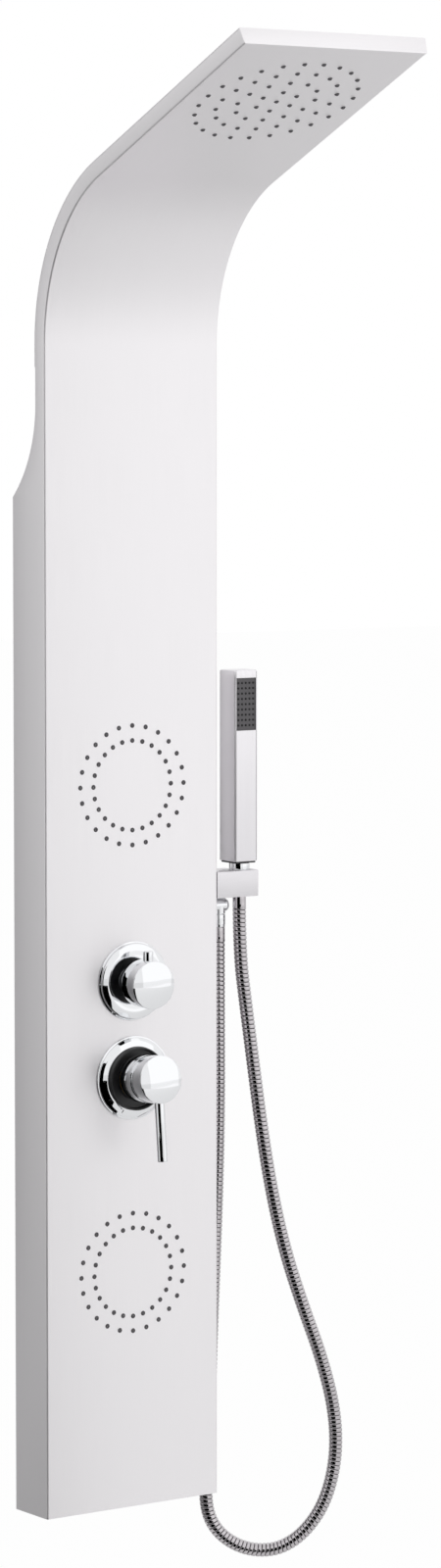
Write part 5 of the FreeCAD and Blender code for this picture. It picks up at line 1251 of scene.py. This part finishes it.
@dataclass
class HandsetSide:
    """The holder on the column's side, and the square handset that stands in it."""

    axis: Pair = (136.6, -36.5)   # of the handset, as x and y
    elbow_axis: Pair = (117.8, -26.0)
    holder_bottom: float = 612.8
    holder_height: float = 26.8
    holder_sides: Pair = (100.1, 149.6)   # x where it meets the column, and of its free end
    holder_lean: float = 3.96   # how far the column's side leans out over the holder's depth
    holder_depth: float = 33.0
    holder_ease: tuple[Pair, ...] = (   # height above its bottom, and inset
        (0.0, 0.5), (0.15, 0.15), (0.5, 0.0), (26.3, 0.0), (26.65, 0.15), (26.8, 0.5))
    holder_edge: float = 1.0
    slot_half: float = 7.6
    seat: Pair = (9.3, 11.05)   # radius at the bottom and at the top
    seat_steps: int = 28
    body_bottom: float = 648.3
    body_height: float = 195.7
    body_width: float = 27.3
    body_depth: float = 27.0
    body_flare: float = 0.09
    body_edge: float = 2.0
    body_sharp: float = 40.0   # edges sharper than this many degrees stay crisp
    foot_ease: tuple[Pair, ...] = ((0.0, 1.0), (0.3, 0.3), (1.0, 0.0))   # height, inset
    top_ease: tuple[Pair, ...] = ((1.6, 0.0), (0.5, 0.45), (0.0, 1.5))   # below the top, inset
    window_top: float = 7.9   # below the handset's top
    window_height: float = 53.6
    window_inset: float = 1.5
    window_depth: float = 2.2
    face_play: float = 0.05
    face_ease: tuple[Pair, ...] = ((3.5, 0.0), (1.3, 0.0), (1.0, 0.3))   # depth, inset
    face_corner: float = 0.6
    nozzle: tuple[Pair, ...] = (   # radius and distance out of the face
        (0.0, -1.5), (1.15, -1.5), (1.15, 0.1), (0.85, 0.7), (0.55, 0.8), (0.35, 0.7),
        (0.3, -0.4), (0.0, -0.4))
    nozzle_sides: int = 14
    nozzle_counts: tuple[int, int] = (5, 9)
    nozzle_steps: Pair = (4.4, 5.4)
    taper_nut: Turning = Turning(
        "handset_taper_nut", CHROME, "handset",
        ((7.1, 612.8), (9.0, 612.8, 0.6), (10.75, 639.6, 0.3), (10.75, 646.6, 0.8),
         (8.1, 646.6), (8.1, 629.4), (7.1, 629.4)), "handset_cone_nut")
    ferrule: Turning = Turning(
        "hose_end_ferrule", CHROME, "hose_end",
        ((4.5, 614.2), (6.8, 614.2, 0.5), (6.8, 629.6), (7.8, 629.6, 0.3), (7.8, 632.4, 0.3),
         (4.5, 632.4)), "hose_ferrule", steps=64)
    supply_nut: Turning = Turning(
        "elbow_supply_nut", CHROME, "root",
        ((4.5, 580.1), (7.3, 580.1, 0.8), (7.3, 583.0, 0.3), (7.5, 583.4, 0.3),
         (7.5, 593.6, 0.8), (5.5, 593.6), (5.5, 587.0), (4.5, 587.0)), "hose_supply_nut",
        steps=64)

    def build(self) -> None:
        """Make the holder, the nut and ferrule in it, and the handset."""
        self.holder()
        axis = Matrix.Translation(spot(*self.axis, 0.0))
        self.taper_nut.build(axis)
        self.ferrule.build(axis)
        self.supply_nut.build(Matrix.Translation(spot(*self.elbow_axis, 0.0)))
        self.body()
        self.face()

    @property
    def front(self) -> float:
        """Where the handset's front is, as y."""
        return self.axis[1] - self.body_depth / 2

    @property
    def window(self) -> Triple:
        """The spray window's low and high edge and its half width."""
        high = self.body_bottom + self.body_height - self.window_top
        return high - self.window_height, high, self.body_width / 2 - self.window_inset

    def holder(self) -> None:
        """The block with its tapered seat, open at the back for the hose."""
        x, y = self.axis
        near, far = self.holder_sides
        back = FRONT_Y + self.holder_depth
        rings = []
        for level, inset in self.holder_ease:
            share = level / self.holder_height
            seat = self.seat[0] + (self.seat[1] - self.seat[0]) * share + inset
            start = math.asin(min(self.slot_half / seat, 1.0))
            angles = [start + (2 * math.pi - 2 * start) * step / self.seat_steps
                      for step in range(self.seat_steps + 1)]
            arc = [(x + seat * math.sin(angle), y + seat * math.cos(angle)) for angle in angles]
            outer = rounded([
                (x - self.slot_half, back - inset), (near + self.holder_lean, back - inset),
                (near, FRONT_Y + inset), (far - inset, FRONT_Y + inset, self.holder_edge),
                (far - inset, back - inset, self.holder_edge),
                (x + self.slot_half, back - inset)])
            rings.append([spot(*place, self.holder_bottom + level) for place in outer + arc])
        Shape().lofted(rings).piece("handset_holder_block", BRUSHED_ACROSS_SHADED, "root",
                                    "handset_holder")

    def body(self) -> None:
        """The handset's square tube with eased edges and a window for the spray face."""
        top = self.body_bottom + self.body_height
        low, high, half = self.window
        levels = [(self.body_bottom + rise, inset) for rise, inset in self.foot_ease]
        levels += [(low, 0.0), (high, 0.0)]
        levels += [(top - drop, inset) for drop, inset in self.top_ease]
        rings = []
        for level, inset in levels:
            depth = self.body_depth - 2 * inset
            wide = self.body_width / 2 + self.body_flare * self.body_depth - inset
            corners = mirrored([(self.body_width / 2 - inset, 0.0, self.body_edge),
                                (wide, depth, self.body_edge)])
            outline = rounded(corners, steps=4) + [(-half, 0.0), (half, 0.0)]
            rings.append([spot(self.axis[0] + x, self.front + inset + y, level)
                          for x, y in outline])
        shape = Shape().lofted(rings, opening=(len(self.foot_ease), len(rings[0]) - 2))
        rim = [spot(self.axis[0] + x, self.front, z)
               for x, z in ((-half, low), (half, low), (half, high), (-half, high))]
        deep = [point + Vector((0.0, self.window_depth * MM, 0.0)) for point in rim]
        shape.lofted([rim, deep], capped=False)
        shape.add(deep, [(0, 1, 2, 3)])
        shape.piece("handset_square_body", BRUSHED, "handset", "handset_body",
                    self.body_sharp)

    def face(self) -> None:
        """The dark face plate and the small nozzles that stand in it."""
        low, high, half = self.window
        middle = (low + high) / 2
        half_x, half_z = half - self.face_play, self.window_height / 2 - self.face_play
        rings = []
        for depth, inset in self.face_ease:
            wide, tall = half_x - inset, half_z - inset
            outline = rounded([(x, z, self.face_corner) for x, z in (
                (wide, tall), (-wide, tall), (-wide, -tall), (wide, -tall))], steps=3)
            rings.append([spot(self.axis[0] + x, self.front + depth, middle + z)
                          for x, z in outline])
        Shape().lofted(rings).piece("handset_spray_face", GREY_ABS, "handset",
                                    "handset_face_plate")

        shape = Shape()
        columns, rows = self.nozzle_counts
        for column in range(columns):
            for row in range(rows):
                x = self.axis[0] + (column - (columns - 1) / 2) * self.nozzle_steps[0]
                z = middle + (row - (rows - 1) / 2) * self.nozzle_steps[1]
                place = spot(x, self.front + self.face_ease[-1][0], z)
                shape.turned(self.nozzle, Matrix.Translation(place)
                             @ Matrix.Rotation(math.pi / 2, 4, "X"), self.nozzle_sides)
        shape.piece("handset_nozzles", NOZZLE_RUBBER, "handset", "handset_nozzle_mat")


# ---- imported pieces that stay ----

@dataclass(frozen=True)
class CarriedPieces:
    """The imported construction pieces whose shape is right, given their own finishes."""

    finishes: tuple[tuple[Finish, tuple[str, ...]], ...] = (
        (ACETAL, ("head_chamber", "upper_jet_manifold", "lower_jet_manifold", "mixer_cartridge",
                  "handset_spray_chamber", "handset_water_tube", "inlet_check_valves")),
        # The mixer's clamp nut is black partly as painted shade, so that the recess behind the
        # mixer's cap stays dark.
        (BLACK_NYLON, ("mixer_clamp_nut", "handset_base_plug")),
        (BRASS, ("mixer_body", "diverter_body", "diverter_clamp_nut", "mixer_cartridge_nut",
                 "diverter_gland_nut", "diverter_cartridge", "link_pipe", "link_nuts",
                 "hot_inlet", "cold_inlet", "feed_hose_nuts", "elbow_lock_nut", "mixer_rotor",
                 "mixer_stem", "diverter_spindle", "elbow_feed_pipe")),
        (ZINC, ("upper_wall_plate", "lower_wall_plate", "upper_cross_bar", "lower_cross_bar",
                "holder_screws", "feed_hose_ferrules", "mixer_pivot_pin", "diverter_grub_screw",
                "mixer_grub_screw")),
        (DARK_RUBBER, ("head_feed_hose", "upper_jet_feed_hose", "lower_jet_feed_hose",
                       "elbow_washer", "hose_washer")),
        (CHROME, ("elbow_outlet",)))

    def build(self) -> None:
        """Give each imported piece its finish."""
        for finish, names in self.finishes:
            for name in names:
                materials = frame["nodes"][name].data.materials
                materials.clear()
                materials.append(finish.material())


def main() -> None:
    """Build the object's pieces and the stage in order."""
    logging.basicConfig(level=logging.INFO, format="%(message)s")
    bpy.context.scene.view_settings.view_transform = "Standard"
    column = Column()
    for maker in (PhotoCamera(), ShowerHose(), column, Jets(column), DiverterTrim(), MixerTrim(),
                  HandsetSide(), CarriedPieces(), Studio()):
        known = set(bpy.data.objects.keys())
        maker.build()
        for name in sorted(set(bpy.data.objects.keys()) - known):
            LOG.info("%s: %s", type(maker).__name__, name)
    bpy.context.view_layer.update()


if __name__ == "__main__":
    main()
